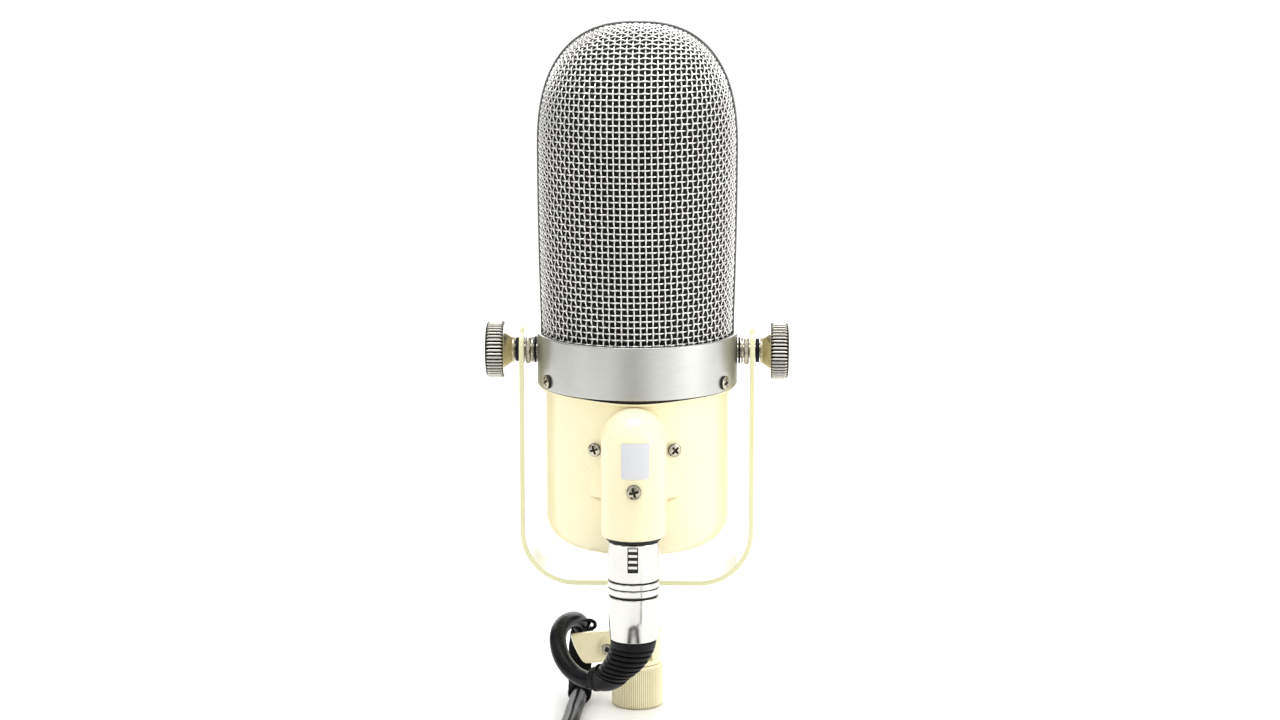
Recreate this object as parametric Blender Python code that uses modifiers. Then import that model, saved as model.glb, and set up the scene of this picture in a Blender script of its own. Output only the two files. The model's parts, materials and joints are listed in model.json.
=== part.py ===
"""Side-address ribbon microphone in a swivelling yoke, with its plugged-in cable.

Metres, +Z up. The origin is the mouth of the knurled stand ring, on its axis.
The grille's front faces +Y and the cable socket is on the back, at -Y.
"""

import math

import bmesh
import bpy
from mathutils import Matrix, Vector

MM = 0.001
GAP = 0.3 * MM

# Head: a grille, a steel band and a cup below it, all turned about Z
BAND_RADIUS = 38.2 * MM
BAND_WALL = 1.6 * MM
BAND_BOTTOM = 128.3 * MM
BAND_HEIGHT = 19.9 * MM
GRILLE_BASE_RADIUS = 36.3 * MM
GRILLE_RADIUS = 37.4 * MM
GRILLE_SHOULDER = 217.0 * MM
GRILLE_TOP = 265.0 * MM
GRILLE_WALL = 1.0 * MM
DOME_POWER = 2.5
HOOP_WIDTH = 1.8 * MM
HOOP_RISE = 0.5 * MM
CUP_RADIUS = 35.3 * MM
CUP_BOTTOM = 66.3 * MM
CUP_CORNER = 11.0 * MM
CUP_WALL = 1.8 * MM
CUP_LIP_RADIUS = 37.4 * MM

# Socket housing on the back of the cup
POD_RADIUS = 11.7 * MM
POD_Y = -46.0 * MM
POD_TOP = 127.8 * MM
POD_BOTTOM = 79.6 * MM
SADDLE_HALF_WIDTH = 17.0 * MM
SADDLE_BOTTOM = 92.0 * MM
SADDLE_TOP = 119.0 * MM
SADDLE_THICKNESS = 1.3 * MM
SIDE_SCREW_X = 14.4 * MM
SIDE_SCREW_Z = 109.0 * MM
POD_SCREW_Z = 98.6 * MM

# Yoke and its pivots
PIVOT_Z = 140.6 * MM
YOKE_HALF_WIDTH = 44.75 * MM
YOKE_STRIP = 1.9 * MM
YOKE_DEPTH = 18.0 * MM
YOKE_BOTTOM = 49.9 * MM
YOKE_CORNER = 21.0 * MM
STUD_RADIUS = 2.9 * MM
STUD_END = 54.0 * MM
KNOB_RADIUS = 11.0 * MM
KNOB_FACE_X = 57.7 * MM
KNOB_RIDGES = 44
KNOB_KNURL = 0.55 * MM

# Swivel and stand ring
CLAMP_Z = 24.4 * MM
CLAMP_YAW = math.radians(20)
FORK_RADIUS = 9.4 * MM
FORK_BOTTOM = 17.4 * MM
FORK_TOP = 31.5 * MM
FORK_SLOT = 6.4 * MM
TONGUE_RADIUS = 4.8 * MM
RING_RADIUS = 10.0 * MM
RING_HEIGHT = 17.1 * MM
RING_BORE = 7.9 * MM
RING_RIDGES = 44
RING_KNURL = 0.3 * MM

# Cable and its connectors
PLUG_RADIUS = 9.5 * MM
PLUG_TOP = 77.8 * MM
PLUG_REAR = 40.3 * MM
LATCH_HALF_WIDTH = 1.6 * MM
LATCH_BOTTOM = 67.8 * MM
LATCH_TOP = 76.6 * MM
CORD_RADIUS = 3.25 * MM
TIE_RADIUS = 4.6 * MM
COIL_TURNS_WIDE = 4
COIL_LAYERS = 3
COIL_RADIUS = 12 * CORD_RADIUS
COIL_X = 2.6 * MM
COIL_Y = -137.0 * MM

# Route of the cord: out of the boot, round the loop, down behind the clamp lever
UPPER_ROUTE = [
    (-15.0, -40.4, 21.15), (-18.2, -38.0, 20.0), (-22.9, -33.2, 21.2), (-27.2, -28.0, 25.2),
    (-29.8, -22.0, 29.7), (-30.1, -15.0, 33.4), (-28.3, -8.0, 35.6), (-25.2, -0.5, 35.2),
    (-22.8, 6.6, 31.6), (-21.6, 11.2, 26.4)]
TIE_ROUTE = [
    (-21.3, 12.5, 24.3), (-21.2, 13.7, 20.0), (-21.6, 13.6, 14.0), (-22.4, 11.2, 8.8),
    (-23.0, 6.6, 5.6), (-23.4, 0.4, 4.75), (-23.7, -5.6, 4.7)]
LOWER_ROUTE = [
    (-23.75, -6.1, 4.7), (-24.1, -14.0, 3.9), (-24.3, -22.0, 3.3), (-24.4, -33.0, 3.26),
    (-26.2, -50.0, 3.26), (-30.0, -66.0, 3.26), (-35.4, -84.0, 3.26), (-41.6, -101.4, 3.26)]
BOOT_ROUTE = [(0.0, -46.0, 39.9), (0.0, -46.0, 37.0), (-0.9, -46.0, 34.2), (-3.0, -45.7, 30.2),
              (-6.4, -44.8, 26.2), (-10.8, -43.0, 23.0), (-13.6, -41.4, 21.7)]

PARTS = "ribbon_microphone"
CUTTERS = "cutters"


def clear_scene():
    for obj in list(bpy.data.objects):
        bpy.data.objects.remove(obj, do_unlink=True)


def collection(name):
    found = bpy.data.collections.get(name)
    if found is None:
        found = bpy.data.collections.new(name)
        bpy.context.scene.collection.children.link(found)
    return found


def finish_material(name, colour, roughness, metallic):
    mat = bpy.data.materials.new(name)
    mat.use_nodes = True
    shader = mat.node_tree.nodes["Principled BSDF"]
    shader.inputs["Base Color"].default_value = (*colour, 1.0)
    shader.inputs["Roughness"].default_value = roughness
    shader.inputs["Metallic"].default_value = metallic
    mat.diffuse_color = (*colour, 1.0)
    return mat


def make_finishes():
    return {
        "enamel": finish_material("cream_enamel", (0.86, 0.80, 0.58), 0.35, 0.0),
        "brushed": finish_material("brushed_steel", (0.58, 0.57, 0.54), 0.38, 1.0),
        "wire": finish_material("bright_wire", (0.72, 0.71, 0.69), 0.25, 1.0),
        "screen": finish_material("dark_screen", (0.04, 0.04, 0.04), 0.6, 0.3),
        "nickel": finish_material("bright_nickel", (0.78, 0.76, 0.70), 0.15, 1.0),
        "rubber": finish_material("black_rubber", (0.02, 0.02, 0.024), 0.55, 0.0),
        "plastic": finish_material("black_plastic", (0.03, 0.03, 0.03), 0.4, 0.0),
        "paper": finish_material("white_label", (0.9, 0.9, 0.9), 0.6, 0.0),
        "magnet": finish_material("grey_magnet", (0.2, 0.2, 0.21), 0.5, 0.6),
        "foil": finish_material("aluminium_foil", (0.85, 0.86, 0.87), 0.3, 1.0),
        "can": finish_material("transformer_can", (0.5, 0.48, 0.42), 0.4, 0.9),
    }


def add_object(name, data, finish, group=PARTS):
    obj = bpy.data.objects.new(name, data)
    collection(group).objects.link(obj)
    if finish is not None:
        data.materials.append(FINISHES[finish])
    return obj


def round_shading(mesh, angle=35):
    mesh.shade_smooth()
    mesh.set_sharp_from_angle(angle=math.radians(angle))


def arc(centre_r, centre_z, radius, start, stop, steps):
    """Points of an arc in a turned profile, angles in degrees from +r towards +z."""
    points = []
    for i in range(steps + 1):
        angle = math.radians(start + (stop - start) * i / steps)
        points.append((centre_r + radius * math.cos(angle), centre_z + radius * math.sin(angle)))
    return points


def turned(name, profile, finish, steps=32, ring=False, matrix=None, group=PARTS):
    """Profile points (radius, height) run down the outer side; a ring's profile is closed."""
    mesh = bpy.data.meshes.new(name)
    edges = [(i, i + 1) for i in range(len(profile) - 1)]
    if ring:
        edges.append((len(profile) - 1, 0))
    mesh.from_pydata([(r, 0.0, z) for r, z in profile], edges, [])
    obj = add_object(name, mesh, finish, group)
    screw = obj.modifiers.new("Turn", "SCREW")
    screw.steps = steps
    screw.render_steps = steps
    screw.use_merge_vertices = True
    screw.merge_threshold = 1e-6
    screw.use_smooth_shade = True
    if matrix is not None:
        obj.matrix_world = matrix
    return obj


def washer_profile(inner, outer, low, high):
    return [(inner, high), (outer, high), (outer, low), (inner, low)]


def block(name, low, high, finish, bevel=0.0, group=PARTS):
    mesh = bpy.data.meshes.new(name)
    bm = bmesh.new()
    bmesh.ops.create_cube(bm, size=1.0)
    size = Vector(high) - Vector(low)
    centre = (Vector(high) + Vector(low)) / 2
    bmesh.ops.scale(bm, vec=size, verts=bm.verts)
    bmesh.ops.translate(bm, vec=centre, verts=bm.verts)
    bm.to_mesh(mesh)
    bm.free()
    obj = add_object(name, mesh, finish, group)
    if bevel:
        edge = obj.modifiers.new("Edge", "BEVEL")
        edge.width = bevel
        edge.segments = 2
    return obj


def rod(name, radius, start, end, finish, sides=24, end_radius=None, group=PARTS):
    start = Vector(start)
    end = Vector(end)
    mesh = bpy.data.meshes.new(name)
    bm = bmesh.new()
    bmesh.ops.create_cone(
        bm, cap_ends=True, segments=sides, radius1=radius,
        radius2=radius if end_radius is None else end_radius, depth=(end - start).length)
    bm.to_mesh(mesh)
    bm.free()
    round_shading(mesh)
    obj = add_object(name, mesh, finish, group)
    turn = (end - start).to_track_quat("Z", "Y").to_matrix().to_4x4()
    obj.matrix_world = Matrix.Translation((start + end) / 2) @ turn
    return obj


def along(axis, origin):
    """Placement that sends a turned piece's Z to the given axis."""
    turn = Vector(axis).to_track_quat("Z", "Y").to_matrix().to_4x4()
    return Matrix.Translation(Vector(origin)) @ turn


def combine(obj, other, operation):
    step = obj.modifiers.new(operation.title(), "BOOLEAN")
    step.operation = operation
    step.solver = "EXACT"
    step.object = other
    other.hide_render = True
    other.display_type = "WIRE"


def cut(obj, *others):
    for other in others:
        combine(obj, other, "DIFFERENCE")


def join(obj, *others):
    for other in others:
        combine(obj, other, "UNION")


def smooth_route(points, spacing):
    """Evenly spaced points on a smooth curve through the route's own points, in mm."""
    knots = [Vector(p) * MM for p in points]
    knots = [2 * knots[0] - knots[1]] + knots + [2 * knots[-1] - knots[-2]]
    fine = []
    for a, b, c, d in zip(knots, knots[1:], knots[2:], knots[3:]):
        for i in range(20):
            t = i / 20
            fine.append(0.5 * (2 * b + (c - a) * t + (2 * a - 5 * b + 4 * c - d) * t ** 2
                               + (3 * b - a - 3 * c + d) * t ** 3))
    fine.append(knots[-2])
    lengths = [0.0]
    for a, b in zip(fine, fine[1:]):
        lengths.append(lengths[-1] + (b - a).length)
    count = max(2, round(lengths[-1] / spacing))
    even = []
    j = 0
    for i in range(count + 1):
        target = lengths[-1] * i / count
        while j < len(fine) - 2 and lengths[j + 1] < target:
            j += 1
        part = (target - lengths[j]) / (lengths[j + 1] - lengths[j])
        even.append(fine[j].lerp(fine[j + 1], min(1.0, part)))
    return even


def tube(name, points, radii, finish, resolution=2, group=PARTS):
    """A tube through points, with one radius or one for each point."""
    curve = bpy.data.curves.new(name, "CURVE")
    curve.dimensions = "3D"
    curve.bevel_depth = 1.0
    curve.bevel_resolution = resolution
    curve.use_fill_caps = True
    spline = curve.splines.new("POLY")
    spline.points.add(len(points) - 1)
    for i, point in enumerate(points):
        spline.points[i].co = (*point, 1.0)
        spline.points[i].radius = radii[i] if isinstance(radii, list) else radii
    return add_object(name, curve, finish, group)


def as_mesh(obj):
    """Replace a curve object by the welded mesh that it makes."""
    bpy.context.view_layer.update()
    graph = bpy.context.evaluated_depsgraph_get()
    mesh = bpy.data.meshes.new_from_object(obj.evaluated_get(graph))
    bm = bmesh.new()
    bm.from_mesh(mesh)
    bmesh.ops.remove_doubles(bm, verts=bm.verts, dist=1e-7)
    bmesh.ops.recalc_face_normals(bm, faces=bm.faces)
    bm.to_mesh(mesh)
    bm.free()
    name = obj.name
    group = obj.users_collection[0].name
    place = obj.matrix_world.copy()
    bpy.data.objects.remove(obj, do_unlink=True)
    made = bpy.data.objects.new(name, mesh)
    collection(group).objects.link(made)
    made.matrix_world = place
    return made


def flat_outline(name, points, thickness, finish, matrix, group=PARTS):
    """A closed flat outline, extruded evenly to both sides of its plane."""
    curve = bpy.data.curves.new(name, "CURVE")
    curve.dimensions = "2D"
    curve.fill_mode = "BOTH"
    curve.extrude = thickness / 2
    spline = curve.splines.new("POLY")
    spline.points.add(len(points) - 1)
    for i, (x, y) in enumerate(points):
        spline.points[i].co = (x, y, 0.0, 1.0)
    spline.use_cyclic_u = True
    obj = add_object(name, curve, finish, group)
    obj.matrix_world = matrix
    return as_mesh(obj)


def knurled(name, rows, ridges, finish, matrix=None):
    """A solid with straight ridges round it: each row is (radius, height, ridge depth)."""
    around = 2 * ridges
    mesh = bpy.data.meshes.new(name)
    bm = bmesh.new()
    loops = []
    for radius, z, depth in rows:
        loop = []
        for i in range(around):
            angle = 2 * math.pi * i / around
            r = radius - depth * (i % 2)
            loop.append(bm.verts.new((r * math.cos(angle), r * math.sin(angle), z)))
        loops.append(loop)
    for lower, upper in zip(loops, loops[1:]):
        for i in range(around):
            j = (i + 1) % around
            bm.faces.new((lower[i], lower[j], upper[j], upper[i]))
    bm.faces.new(loops[0][::-1])
    bm.faces.new(loops[-1])
    bm.to_mesh(mesh)
    bm.free()
    obj = add_object(name, mesh, finish)
    if matrix is not None:
        obj.matrix_world = matrix
    return obj


def axis_empty(name, location, yaw=0.0, parent=None):
    empty = bpy.data.objects.new(name, None)
    collection(PARTS).objects.link(empty)
    empty.matrix_world = Matrix.Translation(Vector(location)) @ Matrix.Rotation(yaw, 4, "Z")
    if parent is not None:
        hang(empty, parent)
    return empty


def hang(obj, empty):
    """Parent obj to an empty without moving it."""
    bpy.context.view_layer.update()
    place = obj.matrix_world.copy()
    obj.parent = empty
    obj.matrix_parent_inverse = empty.matrix_world.inverted()
    obj.matrix_world = place


def hang_all(objects, empty):
    for obj in objects:
        hang(obj, empty)


# ---- grille ----

def grille_radius(z):
    """Outer radius of the grille's mesh at height z."""
    if z <= GRILLE_SHOULDER:
        base = BAND_BOTTOM + BAND_HEIGHT
        t = min(1.0, max(0.0, (z - base) / (GRILLE_SHOULDER - base)))
        return GRILLE_BASE_RADIUS + (GRILLE_RADIUS - GRILLE_BASE_RADIUS) * math.sin(t * math.pi / 2)
    t = min(1.0, (z - GRILLE_SHOULDER) / (GRILLE_TOP - GRILLE_SHOULDER))
    return GRILLE_RADIUS * (1 - t ** DOME_POWER) ** (1 / DOME_POWER)


def grille_outline(inset, base, flank_steps, dome_steps):
    """Points (radius, height) from the top of the dome down the flank to the base."""
    points = []
    height = GRILLE_TOP - GRILLE_SHOULDER
    for i in range(dome_steps + 1):
        angle = math.pi / 2 * i / dome_steps
        up = math.cos(angle) ** (2 / DOME_POWER)
        out = math.sin(angle) ** (2 / DOME_POWER)
        r = max(0.0, (GRILLE_RADIUS - inset) * out)
        points.append((r, GRILLE_SHOULDER + (height - inset) * up))
    rim = BAND_BOTTOM + BAND_HEIGHT + 0.4 * MM
    for i in range(1, flank_steps + 1):
        z = GRILLE_SHOULDER + (rim - GRILLE_SHOULDER) * i / flank_steps
        points.append((grille_radius(z) - inset, z))
    foot = GRILLE_BASE_RADIUS - max(0.0, inset)
    if inset < 0:
        points.append((foot, rim))
    points.append((foot, base))
    points[0] = (0.0, points[0][1])
    return points


def dome_shell(name, inset, wall, base, finish, steps, dome_steps):
    outer = grille_outline(inset, base, 3, dome_steps)
    inner = grille_outline(inset + wall, base, 2, dome_steps - 1)
    return turned(name, outer + inner[::-1], finish, steps)


def make_grille():
    """Two mesh half shells with a thin hoop over the seam, and a finer screen inside."""
    base = BAND_BOTTOM + BAND_HEIGHT - 2.3 * MM
    seam = HOOP_WIDTH / 2 + GAP
    far = 60 * MM
    pieces = []
    for name, low, high in (("grille_front", seam, far), ("grille_rear", -far, -seam)):
        half = dome_shell(name, 0.0, GRILLE_WALL, base, "wire", 44, 7)
        keep = block(name + "_side", (-far, low, base - far), (far, high, GRILLE_TOP + far),
                     None, group=CUTTERS)
        combine(half, keep, "INTERSECT")
        pieces.append(half)
    outer = grille_outline(-HOOP_RISE, base, 4, 14)
    inner = grille_outline(GRILLE_WALL, base, 4, 14)
    loop = [(-r, z) for r, z in outer[::-1]] + outer[1:]
    loop += inner[::-1] + [(-r, z) for r, z in inner[1:]]
    upright = Matrix.Rotation(math.pi / 2, 4, "X")
    pieces.append(flat_outline("grille_hoop", loop, HOOP_WIDTH, "wire", upright))
    pieces.append(dome_shell("inner_screen", 2.0 * MM, 0.6 * MM, base, "screen", 28, 5))
    return pieces


# ---- band and cup ----

def make_band():
    top = BAND_BOTTOM + BAND_HEIGHT
    inner = BAND_RADIUS - BAND_WALL
    edge = 0.5 * MM
    profile = [(inner, top), (BAND_RADIUS - 1.1 * MM, top), (BAND_RADIUS, top - 0.8 * MM),
               (BAND_RADIUS, BAND_BOTTOM + edge), (BAND_RADIUS - edge, BAND_BOTTOM),
               (inner, BAND_BOTTOM)]
    band = turned("band_ring", profile, "brushed", 44, ring=True)
    far = 50 * MM
    cut(band, rod("stud_bore", STUD_RADIUS + GAP, (-far, 0, PIVOT_Z), (far, 0, PIVOT_Z), None,
                  16, group=CUTTERS))
    return band


def band_screw_places():
    """Angles round the band, from +X: two at the back, two at the front."""
    return {"rear_left": 209.5, "rear_right": 330.5, "front_left": 150.5, "front_right": 29.5}


def phillips_screw(name, head_radius, head_height, shank_radius, shank_length, point, outward,
                   finish="nickel"):
    """Pan-head cross-recess screw; point is where the head's underside sits."""
    profile = [(0.0, head_height), (head_radius * 0.78, head_height * 0.88),
               (head_radius, head_height * 0.5), (head_radius, 0.0), (shank_radius, 0.0),
               (shank_radius, -shank_length), (0.0, -shank_length)]
    place = along(outward, point)
    screw = turned(name, profile, finish, 16, matrix=place)
    arm = head_radius * 0.62
    slot = head_radius * 0.11
    deep = head_height * 0.45
    for i, (half_x, half_y) in enumerate(((arm, slot), (slot, arm))):
        recess = block(f"{name}_recess_{i}", (-half_x, -half_y, deep),
                       (half_x, half_y, head_height * 2), None, group=CUTTERS)
        recess.matrix_world = place
        cut(screw, recess)
    return screw


def make_band_screws(band, cup):
    screws = []
    z = BAND_BOTTOM + 3.4 * MM
    for label, degrees in band_screw_places().items():
        angle = math.radians(degrees)
        out = Vector((math.cos(angle), math.sin(angle), 0.0))
        seat = out * (BAND_RADIUS + 0.2 * MM) + Vector((0, 0, z))
        screws.append(phillips_screw(f"band_screw_{label}", 2.6 * MM, 1.2 * MM, 1.2 * MM,
                                     3.6 * MM, seat, out))
        bore = rod(f"band_bore_{label}", 1.5 * MM, out * 30 * MM + Vector((0, 0, z)),
                   out * 42 * MM + Vector((0, 0, z)), None, 12, group=CUTTERS)
        cut(band, bore)
        cut(cup, bore)
    return screws


def make_cup():
    """Cup with a small lip under the band and a spigot inside it."""
    spigot = BAND_RADIUS - BAND_WALL - GAP
    inner = CUP_RADIUS - CUP_WALL
    top = BAND_BOTTOM + 5.0 * MM
    lip_top = BAND_BOTTOM - GAP
    lip_bottom = lip_top - 1.0 * MM
    floor = CUP_BOTTOM + CUP_WALL
    corner = arc(CUP_RADIUS - CUP_CORNER, CUP_BOTTOM + CUP_CORNER, CUP_CORNER, 0, -90, 6)
    inside = arc(inner - CUP_CORNER + CUP_WALL, floor + CUP_CORNER - CUP_WALL,
                 CUP_CORNER - CUP_WALL, -90, 0, 3)
    profile = [(0.0, floor), *inside, (inner, top), (spigot, top), (spigot, lip_top),
               (CUP_LIP_RADIUS, lip_top), (CUP_LIP_RADIUS, lip_bottom),
               (CUP_RADIUS, lip_bottom - 0.3 * MM), *corner, (0.0, CUP_BOTTOM)]
    cup = turned("lower_body", profile, "enamel", 40)
    passage = rod("lead_passage", 3.5 * MM, (0, -50 * MM, 112 * MM), (0, -20 * MM, 112 * MM),
                  None, 16, group=CUTTERS)
    cut(cup, passage)
    return cup


# ---- socket housing ----

def make_housing(cup):
    """Domed pod over the socket, cast in one with a saddle that hugs the cup."""
    dome_z = POD_TOP - POD_RADIUS
    hole = 8.3 * MM
    roof = 102.0 * MM
    pod_side = arc(0.0, dome_z, POD_RADIUS, 90, 0, 7)
    edge = arc(POD_RADIUS - 1.5 * MM, POD_BOTTOM + 1.5 * MM, 1.5 * MM, 0, -90, 3)
    profile = pod_side + edge + [(0.0, POD_BOTTOM)]
    profile[0] = (0.0, profile[0][1])
    housing = turned("xlr_housing", profile, "enamel", 32,
                     matrix=Matrix.Translation((0, POD_Y, 0)))
    neck = block("pod_neck", (-POD_RADIUS * 0.985, POD_Y, POD_BOTTOM + 0.7 * MM),
                 (POD_RADIUS * 0.985, -30 * MM, dome_z - 1.3 * MM), None, group=CUTTERS)
    ridge_z = dome_z - 1.3 * MM
    neck_top = rod("pod_neck_top", POD_RADIUS * 0.985, (0, POD_Y, ridge_z), (0, -30 * MM, ridge_z),
                   None, 28, group=CUTTERS)
    low = CUP_RADIUS + GAP
    saddle = turned("saddle", washer_profile(low - 2 * MM, low + SADDLE_THICKNESS, SADDLE_BOTTOM,
                                             SADDLE_TOP), None, 64, ring=True, group=CUTTERS)
    keep = block("saddle_side", (-SADDLE_HALF_WIDTH, -60 * MM, SADDLE_BOTTOM - 5 * MM),
                 (SADDLE_HALF_WIDTH, -20 * MM, SADDLE_TOP + 5 * MM), None, group=CUTTERS)
    combine(saddle, keep, "INTERSECT")
    join(housing, neck, neck_top, saddle)
    clear = rod("cup_clearance", low, (0, 0, 40 * MM), (0, 0, BAND_BOTTOM + 30 * MM), None, 64,
                group=CUTTERS)
    lip_room = rod("lip_clearance", CUP_LIP_RADIUS + GAP, (0, 0, BAND_BOTTOM - 2.2 * MM),
                   (0, 0, BAND_BOTTOM + 30 * MM), None, 64, group=CUTTERS)
    socket = rod("socket_bore", hole, (0, POD_Y, POD_BOTTOM - 5 * MM), (0, POD_Y, roof), None, 28,
                 group=CUTTERS)
    wires = rod("wire_bore", 3.2 * MM, (0, POD_Y, 112 * MM), (0, -20 * MM, 112 * MM), None, 16,
                group=CUTTERS)
    shaft = rod("wire_shaft", 3.2 * MM, (0, POD_Y, roof - 2 * MM), (0, POD_Y, 113 * MM), None, 16,
                group=CUTTERS)
    cut(housing, clear, lip_room, socket, wires, shaft)
    screws = []
    for label, x in (("left", -SIDE_SCREW_X), ("right", SIDE_SCREW_X)):
        y = -math.sqrt((low + SADDLE_THICKNESS) ** 2 - x ** 2)
        out = Vector((x, y, 0)).normalized()
        seat = Vector((x, y, SIDE_SCREW_Z)) + out * 0.35 * MM
        screws.append(phillips_screw(f"housing_screw_{label}", 2.4 * MM, 1.1 * MM, 1.1 * MM,
                                     3.2 * MM, seat, out))
        bore = rod(f"housing_bore_{label}", 1.4 * MM, seat - out * 9 * MM, seat + out * 3 * MM,
                   None, 12, group=CUTTERS)
        cut(housing, bore)
        cut(cup, bore)
    seat = Vector((0, POD_Y - POD_RADIUS - 0.25 * MM, POD_SCREW_Z))
    out = Vector((0, -1, 0))
    screws.append(phillips_screw("housing_screw_lower", 2.4 * MM, 1.1 * MM, 1.1 * MM, 5.5 * MM,
                                 seat, out))
    bore = rod("pod_screw_bore", 1.4 * MM, seat - out * 8 * MM, seat + out * 3 * MM, None, 12,
               group=CUTTERS)
    cut(housing, bore)
    return housing, screws, bore


def make_label():
    """Blank adhesive label wrapped on the pod's front."""
    low = POD_RADIUS + 0.25 * MM
    label = turned("rear_label", washer_profile(low, low + 0.2 * MM, 103.6 * MM, 114.8 * MM),
                   "paper", 72, ring=True, matrix=Matrix.Translation((0, POD_Y, 0)))
    side = 5.2 * MM
    keep = block("label_side", (-side, -80 * MM, 90 * MM), (side, POD_Y, 130 * MM), None,
                 group=CUTTERS)
    combine(label, keep, "INTERSECT")
    return label


def make_socket(screw_bore):
    """Male insert with its three pins, and the rubber ring at the pod's mouth."""
    here = Matrix.Translation((0, POD_Y, 0))
    insert = turned("socket_insert", [(0.0, 101.4 * MM), (7.9 * MM, 101.4 * MM),
                                      (7.9 * MM, 92.4 * MM), (0.0, 92.4 * MM)],
                    "plastic", 28, matrix=here)
    for i in range(3):
        angle = math.radians(-30 - 120 * i)
        x = 3.6 * MM * math.cos(angle)
        y = POD_Y + 3.6 * MM * math.sin(angle)
        join(insert, rod(f"pin_{i}", 1.2 * MM, (x, y, 84 * MM), (x, y, 94 * MM), None, 12,
                         group=CUTTERS))
    cut(insert, screw_bore)
    gasket = turned("socket_gasket", washer_profile(8.4 * MM, 9.9 * MM, PLUG_TOP + GAP,
                                                    POD_BOTTOM - GAP), "rubber", 28, ring=True,
                    matrix=here)
    return [insert, gasket]


# ---- inside the head ----

def make_motor():
    """Chassis plate, ribbon motor and output transformer."""
    plate_low = BAND_BOTTOM + 5.3 * MM
    plate_high = plate_low + 2.0 * MM
    plate = turned("chassis_plate", [(0.0, plate_high), (BAND_RADIUS - BAND_WALL - GAP, plate_high),
                                     (BAND_RADIUS - BAND_WALL - GAP, plate_low), (0.0, plate_low)],
                   "brushed", 44)
    cut(plate, rod("lead_hole", 3 * MM, (0, -16 * MM, plate_low - MM),
                   (0, -16 * MM, plate_high + MM), None, 12, group=CUTTERS))
    base = plate_high + GAP
    frame = block("motor_frame", (-22 * MM, -6 * MM, base), (22 * MM, 6 * MM, base + 84 * MM),
                  "magnet")
    cut(frame, block("motor_window", (-17 * MM, -12 * MM, base + 6 * MM),
                     (17 * MM, 12 * MM, base + 78 * MM), None, group=CUTTERS))
    pieces = [plate, frame]
    low = base + 7 * MM
    high = base + 77 * MM
    for label, side in (("left", -1), ("right", 1)):
        x0, x1 = sorted((side * 3.2 * MM, side * 16.6 * MM))
        pieces.append(block(f"magnet_{label}", (x0, -5 * MM, low), (x1, 5 * MM, high), "magnet"))
    pieces.append(make_ribbon(low + 3 * MM, high - 3 * MM))
    for label, z in (("lower", low - 0.6 * MM), ("upper", high - 2.4 * MM)):
        pieces.append(block(f"ribbon_clamp_{label}", (-2.8 * MM, -3 * MM, z),
                            (2.8 * MM, 3 * MM, z + 3 * MM), "nickel"))
    can_top = plate_low - 4 * MM
    can = turned("transformer", [(0.0, can_top), (15.4 * MM, can_top), (16 * MM, can_top - 0.6 * MM),
                                 (16 * MM, can_top - 34 * MM), (0.0, can_top - 34 * MM)],
                 "can", 28)
    pieces.append(can)
    return pieces


def make_ribbon(low, high):
    """Corrugated foil ribbon between the magnets."""
    waves = 12
    swing = 0.5 * MM
    half = 2.4 * MM
    foil = 0.15 * MM
    front = []
    for i in range(2 * waves + 1):
        z = low + (high - low) * i / (2 * waves)
        front.append((swing * (-1) ** i, z))
    outline = [(y - foil, z) for y, z in front] + [(y + foil, z) for y, z in front[::-1]]
    turn = Matrix.Rotation(math.pi / 2, 4, "Z") @ Matrix.Rotation(math.pi / 2, 4, "X")
    return flat_outline("ribbon", outline, 2 * half, "foil", turn)


# ---- yoke and pivots ----

def yoke_outline(offset):
    """Right half of the strip's outline at a distance inside its outer face, bottom up."""
    x = YOKE_HALF_WIDTH - offset
    corner = arc(YOKE_HALF_WIDTH - YOKE_CORNER, YOKE_BOTTOM + YOKE_CORNER, YOKE_CORNER - offset,
                 -90, 0, 9)
    return [*corner, (x, PIVOT_Z + YOKE_DEPTH / 2)]


def make_yoke():
    outer = yoke_outline(0.0)
    inner = yoke_outline(YOKE_STRIP)
    loop = [(-x, z) for x, z in outer[::-1]] + outer
    loop += inner[::-1] + [(-x, z) for x, z in inner]
    upright = Matrix.Rotation(math.pi / 2, 4, "X")
    yoke = flat_outline("yoke", loop, YOKE_DEPTH, "enamel", upright)
    far = 60 * MM
    reach = YOKE_DEPTH / 2
    rounding = rod("arm_end_keep", reach + 0.2 * MM, (-far, 0, PIVOT_Z), (far, 0, PIVOT_Z), None,
                   36, group=CUTTERS)
    below = block("arm_keep", (-far, -reach * 1.2, 0), (far, reach * 1.2, PIVOT_Z + 0.8 * MM),
                  None, group=CUTTERS)
    join(rounding, below)
    combine(yoke, rounding, "INTERSECT")
    cut(yoke, rod("yoke_bore", STUD_RADIUS + GAP, (-far, 0, PIVOT_Z), (far, 0, PIVOT_Z), None, 16,
                  group=CUTTERS))
    cut(yoke, rod("yoke_bolt_hole", 3.3 * MM, (0, 0, YOKE_BOTTOM - MM),
                  (0, 0, YOKE_BOTTOM + 4 * MM), None, 16, group=CUTTERS))
    return yoke


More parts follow.
